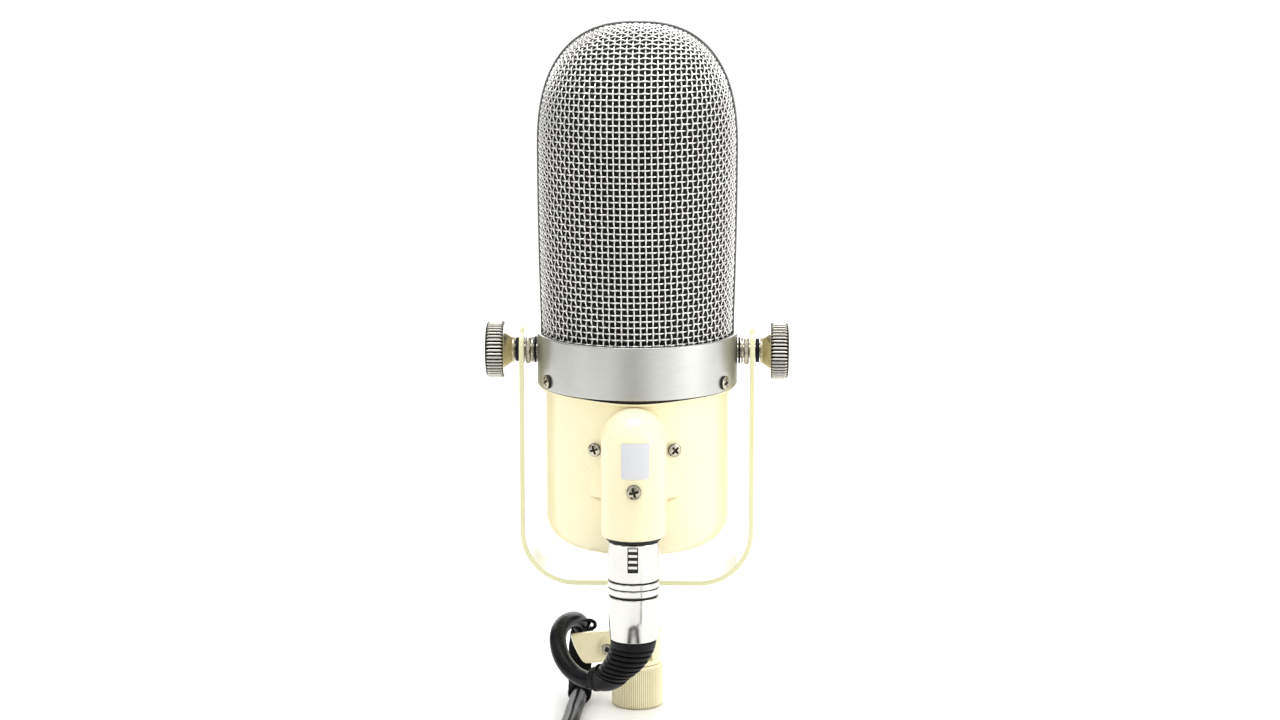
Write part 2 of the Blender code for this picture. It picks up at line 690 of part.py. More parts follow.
def make_pivot(label, side):
    """Stud, washers, nut and hand knob of one pivot; side is -1 or 1 along X."""
    outward = (side, 0, 0)
    here = along(outward, (0, 0, PIVOT_Z))
    band_side = BAND_RADIUS + GAP
    inner_face = YOKE_HALF_WIDTH - YOKE_STRIP
    stud = turned(f"pivot_stud_{label}", [
        (0.0, STUD_END), (STUD_RADIUS - 0.5 * MM, STUD_END), (STUD_RADIUS, STUD_END - 0.5 * MM),
        (STUD_RADIUS, 35.8 * MM), (4.6 * MM, 35.8 * MM), (4.6 * MM, 33.8 * MM),
        (0.0, 33.8 * MM)], "nickel", 20, matrix=here)
    bore = STUD_RADIUS + GAP
    rubber = turned(f"rubber_washer_{label}", washer_profile(
        bore, 5.2 * MM, band_side, band_side + 0.8 * MM), "rubber", 16, ring=True, matrix=here)
    steel = turned(f"steel_washer_{label}", washer_profile(
        bore, 5.2 * MM, band_side + 1.1 * MM, band_side + 1.9 * MM), "nickel", 16, ring=True,
        matrix=here)
    low = band_side + 2.2 * MM
    high = inner_face - GAP
    nut = rod(f"hex_nut_{label}", 5.77 * MM, (side * low, 0, PIVOT_Z), (side * high, 0, PIVOT_Z),
              "nickel", 6)
    nut.matrix_world = nut.matrix_world @ Matrix.Rotation(math.radians(30), 4, "Z")
    cut(nut, rod(f"nut_bore_{label}", bore, (side * (low - MM), 0, PIVOT_Z),
                 (side * (high + MM), 0, PIVOT_Z), None, 16, group=CUTTERS))
    start = YOKE_HALF_WIDTH + GAP
    washer = turned(f"yoke_washer_{label}", washer_profile(bore, 4.6 * MM, start, start + 1.5 * MM),
                    "rubber", 16, ring=True, matrix=here)
    knob = make_knob(f"knob_{label}", start + 1.8 * MM, here)
    return [stud, rubber, steel, nut], washer, knob


def make_knob(name, hub_start, here):
    """Knurled head with a conical hub towards the yoke, bored for the stud."""
    head = KNOB_FACE_X - 6.9 * MM
    bore = STUD_RADIUS + GAP
    rows = [(KNOB_RADIUS - 0.6 * MM, head, 0.15 * MM),
            (KNOB_RADIUS, head + 0.8 * MM, KNOB_KNURL),
            (KNOB_RADIUS, KNOB_FACE_X - 0.9 * MM, KNOB_KNURL),
            (KNOB_RADIUS - 0.9 * MM, KNOB_FACE_X, 0.15 * MM)]
    knob = knurled(name, rows, KNOB_RIDGES, "nickel", here)
    hub = turned(name + "_hub", [(0.0, head + MM), (7.2 * MM, head + MM), (7.2 * MM, head),
                                 (5.4 * MM, head - 2.4 * MM), (5.0 * MM, head - 3.2 * MM),
                                 (5.0 * MM, hub_start), (0.0, hub_start)],
                 None, 20, matrix=here, group=CUTTERS)
    hole = turned(name + "_hole", [(0.0, STUD_END + GAP), (bore, STUD_END + GAP),
                                   (bore, hub_start - MM), (0.0, hub_start - MM)],
                  None, 16, matrix=here, group=CUTTERS)
    join(knob, hub)
    cut(knob, hole)
    return knob


# ---- swivel and stand ring ----

def make_swivel(clamp_frame):
    """Fork with its spigot, the yoke's tongue in it and the clamp screw; returns the tongue."""
    spigot = 5.6 * MM
    edge = 1.6 * MM
    fork = turned("swivel_fork", [
        (0.0, FORK_TOP), (FORK_RADIUS - edge, FORK_TOP), (FORK_RADIUS, FORK_TOP - edge),
        (FORK_RADIUS, 20.7 * MM), (FORK_RADIUS - 0.35 * MM, 20.5 * MM),
        (FORK_RADIUS, 20.3 * MM), (FORK_RADIUS, FORK_BOTTOM), (spigot, FORK_BOTTOM),
        (spigot, 10.0 * MM), (0.0, 10.0 * MM)], "enamel", 30)
    half = FORK_SLOT / 2
    slot = block("fork_slot", (-half, -20 * MM, CLAMP_Z - TONGUE_RADIUS - 0.4 * MM),
                 (half, 20 * MM, FORK_TOP + 5 * MM), None, group=CUTTERS)
    flat_x = 8.3 * MM
    flats = [block(f"fork_flat_{i}", (min(a, b), -12 * MM, CLAMP_Z - 4.3 * MM),
                   (max(a, b), 12 * MM, FORK_TOP + 5 * MM), None, group=CUTTERS)
             for i, (a, b) in enumerate(((-flat_x, -20 * MM), (flat_x, 20 * MM)))]
    bore = rod("clamp_bore", 2.3 * MM, (-30 * MM, 0, CLAMP_Z), (30 * MM, 0, CLAMP_Z), None, 16,
               group=CUTTERS)
    yaw = Matrix.Rotation(CLAMP_YAW, 4, "Z")
    for cutter in (slot, bore, *flats):
        cutter.matrix_world = yaw @ cutter.matrix_world
    cut(fork, slot, bore, *flats)
    knuckle = make_knuckle(bore, yaw)
    turned("clamp_washer", washer_profile(2.3 * MM, 3.4 * MM, 8.6 * MM, 9.5 * MM), "nickel", 16,
           ring=True, matrix=yaw @ along((-1, 0, 0), (0, 0, CLAMP_Z)))
    nut = rod("clamp_nut", 3.9 * MM, (8.6 * MM, 0, CLAMP_Z), (11.0 * MM, 0, CLAMP_Z), "nickel", 6)
    nut_bore = rod("clamp_nut_bore", 2.3 * MM, (7 * MM, 0, CLAMP_Z), (13 * MM, 0, CLAMP_Z), None,
                   16, group=CUTTERS)
    nut.matrix_world = yaw @ nut.matrix_world
    nut_bore.matrix_world = yaw @ nut_bore.matrix_world
    cut(nut, nut_bore)
    screw = rod("clamp_screw", 1.95 * MM, (-13.2 * MM, 0, CLAMP_Z), (12.4 * MM, 0, CLAMP_Z),
                "nickel", 16)
    screw.matrix_world = yaw @ screw.matrix_world
    lever = make_lever(yaw)
    hang_all([screw, lever], clamp_frame)
    return knuckle


def make_knuckle(bore, yaw):
    """Post under the yoke, flattened to a round-ended tongue in the fork."""
    half = FORK_SLOT / 2 - GAP
    top = YOKE_BOTTOM - GAP
    shoulder = 37.6 * MM
    tongue = rod("yoke_knuckle", TONGUE_RADIUS, (-half, 0, CLAMP_Z), (half, 0, CLAMP_Z),
                 "enamel", 28)
    web = block("tongue_web", (-half, -TONGUE_RADIUS * 0.999, CLAMP_Z),
                (half, TONGUE_RADIUS * 0.999, shoulder + MM), None, group=CUTTERS)
    tongue.matrix_world = yaw @ tongue.matrix_world
    web.matrix_world = yaw @ web.matrix_world
    post = turned("knuckle_post", [
        (0.0, top), (7.5 * MM, top), (7.5 * MM, top - 2.6 * MM), (6.3 * MM, top - 3.6 * MM),
        (6.3 * MM, shoulder + 1.6 * MM), (5.2 * MM, shoulder), (0.0, shoulder)], None, 28,
        group=CUTTERS)
    join(tongue, web, post)
    bolt_hole = rod("knuckle_bolt_hole", 2.8 * MM, (0, 0, 41 * MM), (0, 0, top + MM), None, 16,
                    group=CUTTERS)
    cut(tongue, bore, bolt_hole)
    return tongue


def make_lever(yaw):
    """Flat cast wing with a conical boss, on the end of the clamp screw."""
    tip = 27.0 * MM
    root = 12.2 * MM
    half = 6.2 * MM
    outline = [(-root, half), (-tip, half * 0.96)]
    for i in range(1, 8):
        t = i / 8
        outline.append((-tip + 4.6 * MM * t ** 1.6, half * 0.96 - 2 * half * t))
    outline += [(-tip + 5.4 * MM, -half), (-root - 1.5 * MM, -half), (-root, -half * 0.55)]
    upright = yaw @ Matrix.Translation((0, 0, CLAMP_Z)) @ Matrix.Rotation(math.pi / 2, 4, "X")
    lever = flat_outline("clamp_lever", outline[::-1], 3.4 * MM, "enamel", upright)
    edge = lever.modifiers.new("Edge", "BEVEL")
    edge.width = 0.6 * MM
    edge.segments = 2
    edge.limit_method = "ANGLE"
    edge.angle_limit = math.radians(50)
    boss = turned("lever_boss", [(0.0, 15.8 * MM), (3.4 * MM, 15.4 * MM), (4.2 * MM, 13.4 * MM),
                                 (2.9 * MM, 9.8 * MM), (0.0, 9.8 * MM)], None, 24,
                  matrix=yaw @ along((-1, 0, 0), (0, 0, CLAMP_Z)), group=CUTTERS)
    hole = rod("lever_hole", 1.95 * MM + GAP, (-13.5 * MM, 0, CLAMP_Z), (-5 * MM, 0, CLAMP_Z),
               None, 16, group=CUTTERS)
    hole.matrix_world = yaw @ hole.matrix_world
    join(lever, boss)
    cut(lever, hole)
    return lever


def make_stand_ring():
    """Knurled ring that screws on a stand and turns on the fork's spigot."""
    inner = 5.9 * MM
    rows = [(RING_RADIUS - 0.6 * MM, 0.0, 0.05 * MM), (RING_RADIUS, 0.6 * MM, RING_KNURL),
            (RING_RADIUS, RING_HEIGHT - 0.8 * MM, RING_KNURL),
            (RING_RADIUS - 0.7 * MM, RING_HEIGHT, 0.05 * MM)]
    ring = knurled("stand_ring", rows, RING_RIDGES, "enamel")
    bore = turned("stand_bore", [(0.0, 20 * MM), (inner, 20 * MM), (inner, 10.0 * MM),
                                 (RING_BORE, 10.0 * MM), (RING_BORE, -2 * MM), (0.0, -2 * MM)],
                  None, 32, group=CUTTERS)
    cut(ring, bore)
    turned("spigot_cap", [(0.0, 9.7 * MM), (7.4 * MM, 9.7 * MM), (7.4 * MM, 8.5 * MM),
                          (0.0, 8.5 * MM)], "nickel", 28)
    return ring


def make_yoke_bolt():
    """Pan-head bolt from inside the yoke down into the knuckle, on a lock washer."""
    top = YOKE_BOTTOM + YOKE_STRIP
    washer = turned("yoke_lock_washer", washer_profile(3.1 * MM, 5.4 * MM, top + GAP, top + 1.2 * MM),
                    "nickel", 16, ring=True)
    seat = top + 1.5 * MM
    bolt = turned("yoke_bolt", [
        (0.0, seat + 2.6 * MM), (2.6 * MM, seat + 2.4 * MM), (4.4 * MM, seat + 1.2 * MM),
        (4.6 * MM, seat), (2.5 * MM, seat), (2.5 * MM, 42 * MM), (0.0, 42 * MM)], "nickel", 24)
    slot = 0.5 * MM
    cut(bolt, block("bolt_slot", (-6 * MM, -slot, seat + 1.6 * MM), (6 * MM, slot, seat + 5 * MM),
                    None, group=CUTTERS))
    return [washer, bolt]


# ---- cable connectors ----

def make_plug():
    """Cable connector in the socket: shell, latch, insert and rear housing with grooves."""
    here = Matrix.Translation((0, POD_Y, 0))
    nose = 7.95 * MM
    bore = 6.9 * MM
    split = 63.0 * MM
    shell = turned("plug_shell", [
        (bore, 90 * MM), (nose, 90 * MM), (nose, PLUG_TOP), (PLUG_RADIUS - 0.5 * MM, PLUG_TOP),
        (PLUG_RADIUS, PLUG_TOP - 0.5 * MM), (PLUG_RADIUS, split + GAP), (bore, split + GAP)],
        "nickel", 36, ring=True, matrix=here)
    window = block("latch_window", (-LATCH_HALF_WIDTH - GAP, POD_Y - 15 * MM, LATCH_BOTTOM - GAP),
                   (LATCH_HALF_WIDTH + GAP, POD_Y - bore + 2 * MM, LATCH_TOP + GAP), None,
                   group=CUTTERS)
    cut(shell, window)
    latch = block("latch_button", (-LATCH_HALF_WIDTH, POD_Y - PLUG_RADIUS - 0.1 * MM, LATCH_BOTTOM),
                  (LATCH_HALF_WIDTH, POD_Y - PLUG_RADIUS + 1.5 * MM, LATCH_TOP), "plastic",
                  0.2 * MM)
    for i in range(3):
        z = LATCH_BOTTOM + (1.3 + 2.2 * i) * MM
        cut(latch, block(f"latch_groove_{i}", (-5 * MM, POD_Y - 15 * MM, z),
                         (5 * MM, POD_Y - PLUG_RADIUS + 0.5 * MM, z + 0.9 * MM), None,
                         group=CUTTERS))
    insert = turned("plug_insert", [(0.0, 89.6 * MM), (6.5 * MM, 89.6 * MM), (6.5 * MM, 66 * MM),
                                    (0.0, 66 * MM)], "plastic", 24, matrix=here)
    for i in range(3):
        angle = math.radians(-30 - 120 * i)
        x = 3.6 * MM * math.cos(angle)
        y = POD_Y + 3.6 * MM * math.sin(angle)
        cut(insert, rod(f"contact_{i}", 1.5 * MM, (x, y, 78 * MM), (x, y, 95 * MM), None, 12,
                        group=CUTTERS))
    ring = 0.35 * MM
    housing = turned("plug_housing", [
        (0.0, split), (PLUG_RADIUS + ring, split), (PLUG_RADIUS + ring, 61.0 * MM),
        (PLUG_RADIUS, 60.7 * MM), (PLUG_RADIUS, 60.3 * MM), (PLUG_RADIUS + ring, 60.0 * MM),
        (PLUG_RADIUS + ring, 58.4 * MM), (PLUG_RADIUS - 0.25 * MM, 57.8 * MM),
        (PLUG_RADIUS - 0.9 * MM, PLUG_REAR), (0.0, PLUG_REAR)], "nickel", 36, matrix=here)
    boot = make_boot()
    return [shell, insert, housing, boot], latch


def make_boot():
    """Ribbed rubber boot that leans over to the left with the cord."""
    route = smooth_route(BOOT_ROUTE, 1.05 * MM)
    last = len(route) - 1
    radii = []
    for i in range(last + 1):
        t = i / last
        body = (8.5 * (1 - t) ** 0.85 + 3.75) * MM
        rib = 0.35 * MM if i % 4 < 2 and 0.08 < t < 0.8 else 0.0
        radii.append(min(8.5 * MM, body - 3.0 * MM * (1 - t)) + rib)
    return tube("plug_boot", route, radii, "rubber", 4)


def make_cord():
    """The cord up to its tie, the tie, and the run along the table into the coil."""
    spacing = 5 * CORD_RADIUS
    upper = tube("cord_upper", smooth_route(UPPER_ROUTE, spacing * 0.8), CORD_RADIUS, "rubber")
    tube("cord_tie", smooth_route(TIE_ROUTE, spacing * 0.6), TIE_RADIUS, "rubber", 3)
    tube("cord_lower", smooth_route(LOWER_ROUTE, spacing), CORD_RADIUS, "rubber")
    half = COIL_TURNS_WIDE * CORD_RADIUS
    high = COIL_LAYERS * 2 * CORD_RADIUS
    soft = 2.4 * MM
    turned("cord_coil", [
        (COIL_RADIUS - half + soft, high), (COIL_RADIUS + half - soft, high),
        (COIL_RADIUS + half, high - soft), (COIL_RADIUS + half, soft),
        (COIL_RADIUS + half - soft, 0.0), (COIL_RADIUS - half + soft, 0.0),
        (COIL_RADIUS - half, soft), (COIL_RADIUS - half, high - soft)],
        "rubber", 36, ring=True, matrix=Matrix.Translation((COIL_X, COIL_Y, 0)))
    return upper


def make_far_plug():
    """Male connector on the cord's far end, lying beside the coil along +X."""
    outer = COIL_RADIUS + COIL_TURNS_WIDE * CORD_RADIUS
    start = COIL_X + 27 * MM
    y = COIL_Y - outer + CORD_RADIUS
    here = along((1, 0, 0), (start, y, PLUG_RADIUS + 0.4 * MM))
    boot_end = 30 * MM
    boot = turned("far_plug_boot", [
        (0.0, boot_end), (8.3 * MM, boot_end), (8.3 * MM, boot_end - 7 * MM),
        (7.4 * MM, boot_end - 12 * MM), (5.2 * MM, boot_end - 20 * MM), (3.9 * MM, 0.0),
        (0.0, 0.0)], "rubber", 24, matrix=here)
    rear = boot_end + GAP
    tip = rear + 52 * MM
    bore = 7.9 * MM
    shell = turned("far_plug_shell", [
        (0.0, tip - 18 * MM), (bore, tip - 18 * MM), (bore, tip), (PLUG_RADIUS - 0.4 * MM, tip),
        (PLUG_RADIUS, tip - 0.4 * MM), (PLUG_RADIUS, rear + 20 * MM),
        (PLUG_RADIUS - 0.25 * MM, rear + 19 * MM), (PLUG_RADIUS - 0.9 * MM, rear), (0.0, rear)],
        "nickel", 28, matrix=here)
    insert = turned("far_plug_insert", [
        (0.0, tip - 14 * MM), (bore - GAP, tip - 14 * MM), (bore - GAP, tip - 17.7 * MM),
        (0.0, tip - 17.7 * MM)], "plastic", 24, matrix=here)
    for i in range(3):
        angle = math.radians(-30 - 120 * i)
        pin = rod(f"far_pin_{i}", 1.2 * MM,
                  (3.6 * MM * math.cos(angle), 3.6 * MM * math.sin(angle), tip - 15 * MM),
                  (3.6 * MM * math.cos(angle), 3.6 * MM * math.sin(angle), tip - 2 * MM), None, 12,
                  group=CUTTERS)
        pin.matrix_world = here @ pin.matrix_world
        join(insert, pin)
    return [boot, shell, insert]


def main():
    yoke_axis = axis_empty("yoke_axis", (0, 0, CLAMP_Z), CLAMP_YAW)
    head_axis = axis_empty("head_axis", (0, 0, PIVOT_Z), parent=yoke_axis)
    ring_axis = axis_empty("ring_axis", (0, 0, 0))
    clamp_axis = axis_empty("clamp_axis", (0, 0, CLAMP_Z), CLAMP_YAW)
    latch_axis = axis_empty("latch_axis", (0, POD_Y, LATCH_BOTTOM), parent=head_axis)

    head = make_grille()
    band = make_band()
    cup = make_cup()
    head += [band, cup] + make_band_screws(band, cup)
    housing, screws, screw_bore = make_housing(cup)
    head += [housing, make_label()] + screws + make_socket(screw_bore) + make_motor()
    plug, latch = make_plug()
    hang(latch, latch_axis)
    head += plug + [make_cord()]

    knuckle = make_swivel(clamp_axis)
    yoke_parts = [make_yoke(), knuckle] + make_yoke_bolt()
    for label, side in (("left", -1), ("right", 1)):
        fixed, yoke_washer, knob = make_pivot(label, side)
        head += fixed
        yoke_parts.append(yoke_washer)
        hang(knob, axis_empty(f"knob_axis_{label}", (0, 0, PIVOT_Z), parent=yoke_axis))
    hang(make_stand_ring(), ring_axis)
    make_far_plug()
    hang_all(head, head_axis)
    hang_all(yoke_parts, yoke_axis)


clear_scene()
FINISHES = make_finishes()
main()
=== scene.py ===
import json
import math

import bmesh
import bpy
import numpy as np
from mathutils import Matrix, Vector


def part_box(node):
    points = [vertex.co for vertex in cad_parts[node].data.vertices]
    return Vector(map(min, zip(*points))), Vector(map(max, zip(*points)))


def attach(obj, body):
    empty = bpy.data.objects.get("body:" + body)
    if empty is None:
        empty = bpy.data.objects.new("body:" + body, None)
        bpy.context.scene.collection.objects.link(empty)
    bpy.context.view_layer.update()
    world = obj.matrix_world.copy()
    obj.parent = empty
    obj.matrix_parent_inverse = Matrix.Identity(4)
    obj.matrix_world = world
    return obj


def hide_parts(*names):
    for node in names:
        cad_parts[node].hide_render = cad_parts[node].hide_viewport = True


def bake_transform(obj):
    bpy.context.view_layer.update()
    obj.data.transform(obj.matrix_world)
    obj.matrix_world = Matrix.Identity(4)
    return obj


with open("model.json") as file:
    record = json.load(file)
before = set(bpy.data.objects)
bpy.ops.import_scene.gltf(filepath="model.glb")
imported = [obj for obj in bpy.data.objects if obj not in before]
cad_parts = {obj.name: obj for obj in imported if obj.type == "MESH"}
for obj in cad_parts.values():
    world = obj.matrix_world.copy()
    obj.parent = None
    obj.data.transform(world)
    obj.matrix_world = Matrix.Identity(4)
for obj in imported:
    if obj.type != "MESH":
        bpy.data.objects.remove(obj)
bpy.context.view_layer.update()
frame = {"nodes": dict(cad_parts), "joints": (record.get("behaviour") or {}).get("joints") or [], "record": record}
record = frame["record"]
joints = {joint["name"]: joint for joint in frame["joints"]}
pivotHeight = joints["head_tilt"]["pos_m"][2]
clampHeight = joints["yoke_tilt"]["pos_m"][2]
clampAxis = Vector(joints["yoke_tilt"]["axis"])
clampMiddle = (0, 0, clampHeight)
clampTurn = Matrix.Rotation(math.atan2(clampAxis.y, clampAxis.x), 4, "Z")
mm = 0.001


# Camera

cameraPlace = {"across": 31 * mm, "back": 1013.5 * mm, "up": 330 * mm, "lens": 75.94,
               "aimAcross": 1.0 * mm, "aimUp": 136.6 * mm}


def makeCamera():
    data = bpy.data.cameras.new("studioCamera")
    data.lens = cameraPlace["lens"]
    data.clip_start = 0.05
    camera = bpy.data.objects.new("studioCamera", data)
    bpy.context.scene.collection.objects.link(camera)
    camera.location = (cameraPlace["across"], -cameraPlace["back"], cameraPlace["up"])
    aim = Vector((cameraPlace["aimAcross"], 0, cameraPlace["aimUp"]))
    camera.rotation_euler = (aim - camera.location).to_track_quat("-Z", "Y").to_euler()
    bpy.context.scene.camera = camera


makeCamera()


# Shader maths: a socket that can be used in sums, and a finish that makes nodes

class Flow:
    def __init__(self, finish, socket):
        self.finish = finish
        self.socket = socket

    def __add__(self, other):
        return self.finish.maths("ADD", self, other)

    def __radd__(self, other):
        return self.finish.maths("ADD", other, self)

    def __sub__(self, other):
        return self.finish.maths("SUBTRACT", self, other)

    def __rsub__(self, other):
        return self.finish.maths("SUBTRACT", other, self)

    def __mul__(self, other):
        return self.finish.maths("MULTIPLY", self, other)

    def __rmul__(self, other):
        return self.finish.maths("MULTIPLY", other, self)

    def __pow__(self, other):
        return self.finish.maths("POWER", self, other)

    def __lt__(self, other):
        return self.finish.maths("LESS_THAN", self, other)


class Finish:
    def __init__(self, name, **fixed):
        self.material = bpy.data.materials.new(name)
        self.material.use_nodes = True
        self.tree = self.material.node_tree
        self.shader = self.tree.nodes["Principled BSDF"]
        self.set(**fixed)

    def feed(self, socket, value):
        if isinstance(value, Flow):
            self.tree.links.new(value.socket, socket)
        elif socket.type == "RGBA" and len(value) == 3:
            socket.default_value = (*value, 1.0)
        else:
            socket.default_value = value

    def node(self, kind, settings=None, inputs=None, output=0):
        made = self.tree.nodes.new("ShaderNode" + kind)
        for key, value in (settings or {}).items():
            setattr(made, key, value)
        for key, value in (inputs or {}).items():
            self.feed(made.inputs[key], value)
        return Flow(self, made.outputs[output])

    def set(self, **sockets):
        for key, value in sockets.items():
            self.feed(self.shader.inputs[key.replace("_", " ")], value)

    def where(self):
        return self.node("TexCoord", output="Object")

    def parts(self, vector):
        # the three numbers of a vector
        made = self.node("SeparateXYZ", None, {0: vector})
        return [Flow(self, made.socket.node.outputs[i]) for i in range(3)]

    def vector(self, x, y, z):
        return self.node("CombineXYZ", None, {0: x, 1: y, 2: z})

    def noise(self, scale, detail=3.0, at=None):
        return self.node("TexNoise", None, {"Vector": at or self.where(), "Scale": scale,
                                            "Detail": detail})

    def mix(self, amount, first, second):
        return self.node("Mix", {"data_type": "RGBA"}, {0: amount, 6: first, 7: second}, 2)

    def between(self, value, low, high, start=0.0, end=1.0):
        # value from low..high brought to start..end, held at the ends
        return self.node("MapRange", None, {0: value, 1: low, 2: high, 3: start, 4: end})

    def bump(self, height, depth, strength=1.0):
        return self.node("Bump", None, {"Height": height, "Distance": depth,
                                        "Strength": strength})

    def around(self):
        # turn about the upright axis, distance from it and height
        x, y, z = self.parts(self.where())
        turn = self.maths("ARCTAN2", y, x)
        return turn, (x * x + y * y) ** 0.5, z

    def maths(self, operation, first, second=0.0):
        return self.node("Math", {"operation": operation}, {0: first, 1: second})


# Finishes

# where a shadow is painted on the cream enamel, under the socket saddle's lower edge
shadowUnderSaddle = {"near": 12 * mm, "thinTo": 17.4 * mm, "tall": 1.9 * mm, "height": 90.6 * mm,
         "rearOf": -28 * mm}


def creamEnamel(name, tone, coat):
    # tone scales the paint's colour
    f = Finish(name, IOR=1.5, Coat_Roughness=0.12, Coat_Weight=coat)
    cloud = f.noise(28, 4)
    speck = f.noise(1500, 2)
    dark, light, fleck, saddleShadowTone = [tuple(c * t for c, t in zip(colour, tone)) for colour in
                                  ((0.82, 0.735, 0.46), (0.885, 0.81, 0.545),
                                   (0.62, 0.55, 0.33), (0.60, 0.50, 0.24))]
    shade = f.mix(f.between(cloud, 0.2, 0.8), dark, light)
    shade = f.mix(f.between(speck, 0.62, 0.75, 0.0, 0.05), shade, fleck)
    # painted shadow under the saddle's edge, thinner away from the socket housing
    x, y, z = f.parts(f.where())
    side = f.maths("ABSOLUTE", x)
    tall = f.between(side, shadowUnderSaddle["near"], shadowUnderSaddle["thinTo"], shadowUnderSaddle["tall"], 0.0)
    drop = shadowUnderSaddle["height"] - z
    saddleShadowMask = (f.between(drop, -0.2 * mm, 0.3 * mm)
              * f.between(drop - tall, -0.5 * mm, 0.2 * mm, 1, 0))
    beside = (f.between(side, 12.1 * mm, 12.35 * mm)
              * f.between(side, 16.2 * mm, 17.6 * mm, 0.8, 0.0))
    saddleShadowMask = saddleShadowMask * (y < shadowUnderSaddle["rearOf"]) * beside
    peel = f.noise(420, 2)
    f.set(Base_Color=f.mix(saddleShadowMask, shade, saddleShadowTone),
          Roughness=f.between(cloud, 0.3, 0.7, 0.24, 0.34),
          Normal=f.bump(peel, 0.03 * mm, 0.4))
    return f.material


def brushedSteel():
    f = Finish("brushedSteel", Metallic=1.0, Anisotropic=0.55)
    turn, distance, z = f.around()
    lines = f.noise(1.0, 5, f.vector(turn * 9.0, distance * 900.0, z * 5200.0))
    fine = f.noise(1.0, 2, f.vector(turn * 60.0, distance * 900.0, z * 9000.0))
    cloud = f.noise(60, 4)
    grain = lines * 0.7 + fine * 0.3
    f.set(Base_Color=f.mix(grain, (0.43, 0.43, 0.405), (0.63, 0.63, 0.60)),
          Roughness=f.between(grain + cloud * 0.25, 0.35, 0.85, 0.26, 0.38),
          Normal=f.bump(grain, 0.02 * mm, 0.5))
    return f.material


def brightWire():
    f = Finish("brightWire", Metallic=1.0)
    cloud = f.noise(90, 4)
    fine = f.noise(1800, 2)
    # painted highlight: the wire's colour is brighter over the dome, where the top light falls
    z = f.parts(f.where())[2]
    dome = f.between(z, 225 * mm, 262 * mm)
    side = f.mix(cloud, (0.66, 0.65, 0.63), (0.86, 0.85, 0.83))
    f.set(Base_Color=f.mix(dome, side, (0.97, 0.96, 0.94)),
          Roughness=f.between(fine, 0.3, 0.7, 0.16, 0.30))
    return f.material


def hoopSteel():
    f = Finish("hoopSteel", Metallic=1.0)
    fine = f.noise(700, 3)
    f.set(Base_Color=f.mix(fine, (0.10, 0.10, 0.10), (0.20, 0.195, 0.19)),
          Roughness=f.between(fine, 0.3, 0.7, 0.30, 0.45), Normal=f.bump(fine, 0.01 * mm, 0.3))
    return f.material


def darkScreen():
    f = Finish("darkScreen", Metallic=0.4)
    turn, _, z = f.around()
    weave = f.maths("SINE", turn * 420.0) * f.maths("SINE", z * 11000.0)
    f.set(Base_Color=f.mix(f.between(weave, -0.6, 0.6), (0.003, 0.003, 0.003),
                           (0.014, 0.014, 0.013)),
          Roughness=0.6, Normal=f.bump(weave, 0.08 * mm, 0.6))
    return f.material


def nickelPlate():
    f = Finish("nickelPlate", Metallic=1.0)
    cloud = f.noise(160, 4)
    scratch = f.noise(1.0, 2, f.node("VectorMath", {"operation": "MULTIPLY"},
                                     {0: f.where(), 1: (2600.0, 2600.0, 240.0)}))
    f.set(Base_Color=f.mix(cloud, (0.58, 0.575, 0.54), (0.69, 0.685, 0.655)),
          Roughness=f.between(scratch * 0.6 + cloud * 0.4, 0.35, 0.7, 0.07, 0.19),
          Normal=f.bump(scratch, 0.004 * mm, 0.25))
    return f.material


def fastenerNickel():
    f = Finish("fastenerNickel", Metallic=1.0)
    cloud = f.noise(500, 4)
    f.set(Base_Color=f.mix(cloud, (0.30, 0.27, 0.19), (0.66, 0.62, 0.52)),
          Roughness=f.between(cloud, 0.3, 0.7, 0.14, 0.30),
          Normal=f.bump(cloud, 0.01 * mm, 0.3))
    return f.material


def knobNickel():
    f = Finish("knobNickel", Metallic=1.0)
    cloud = f.noise(500, 4)
    plain = f.mix(cloud, (0.47, 0.45, 0.40), (0.68, 0.66, 0.60))
    f.set(Roughness=f.between(cloud, 0.3, 0.7, 0.12, 0.26),
          Normal=f.bump(cloud, 0.01 * mm, 0.3))
    x, y, z = f.parts(f.where())
    z = z - pivotHeight
    distance = (y * y + z * z) ** 0.5
    side = f.maths("ABSOLUTE", x)
    hub = f.between(side, 50.4 * mm, 50.9 * mm)  # inside this the metal is tinted yellower, a painted reflection of the cream paint round it
    # painted shade in the knurl's valleys and a painted dark reflection in a band on the head's rounded edge
    lined = f.mix(f.between(distance, 10.38 * mm, 10.80 * mm), (0.020, 0.018, 0.013), plain)
    paintedHeadLines = f.mix(f.between(distance, 9.2 * mm, 9.6 * mm), plain, lined)
    creamReflection = f.mix(cloud, (0.42, 0.36, 0.22), (0.62, 0.55, 0.38))
    f.set(Base_Color=f.mix(hub, creamReflection, paintedHeadLines))
    return f.material


def ringEnamel():
    f = Finish("ringEnamel", IOR=1.5)
    _, distance, z = f.around()
    cloud = f.noise(120, 4)
    shade = f.mix(f.between(cloud, 0.35, 0.65), (0.88, 0.81, 0.54), (0.94, 0.88, 0.62))
    # painted shade: darker along the foot, where the ring meets the floor
    low = f.between(z + cloud * 2 * mm, 0.9 * mm, 2.2 * mm)
    shade = f.mix(low, (0.42, 0.37, 0.20), shade)
    # painted shade: the valleys between the ridges are darker, up to the top edge
    valleyShadeMask = f.between(distance + f.between(z, 15.9 * mm, 16.1 * mm, 0.0, mm),
                      9.62 * mm, 9.84 * mm)
    f.set(Base_Color=f.mix(valleyShadeMask, (0.30, 0.26, 0.13), shade),
          Roughness=f.between(cloud, 0.3, 0.7, 0.30, 0.42), Normal=f.bump(cloud, 0.02 * mm, 0.3))
    return f.material


def recessBlack():
    # painted shade: near-black metal put in recesses, grooves and gaps where shade falls
    f = Finish("recessBlack", Metallic=0.6)
    fine = f.noise(900, 2)
    f.set(Base_Color=f.mix(fine, (0.010, 0.009, 0.007), (0.05, 0.045, 0.035)), Roughness=0.45,
          Normal=f.bump(fine, 0.02 * mm, 0.4))
    return f.material


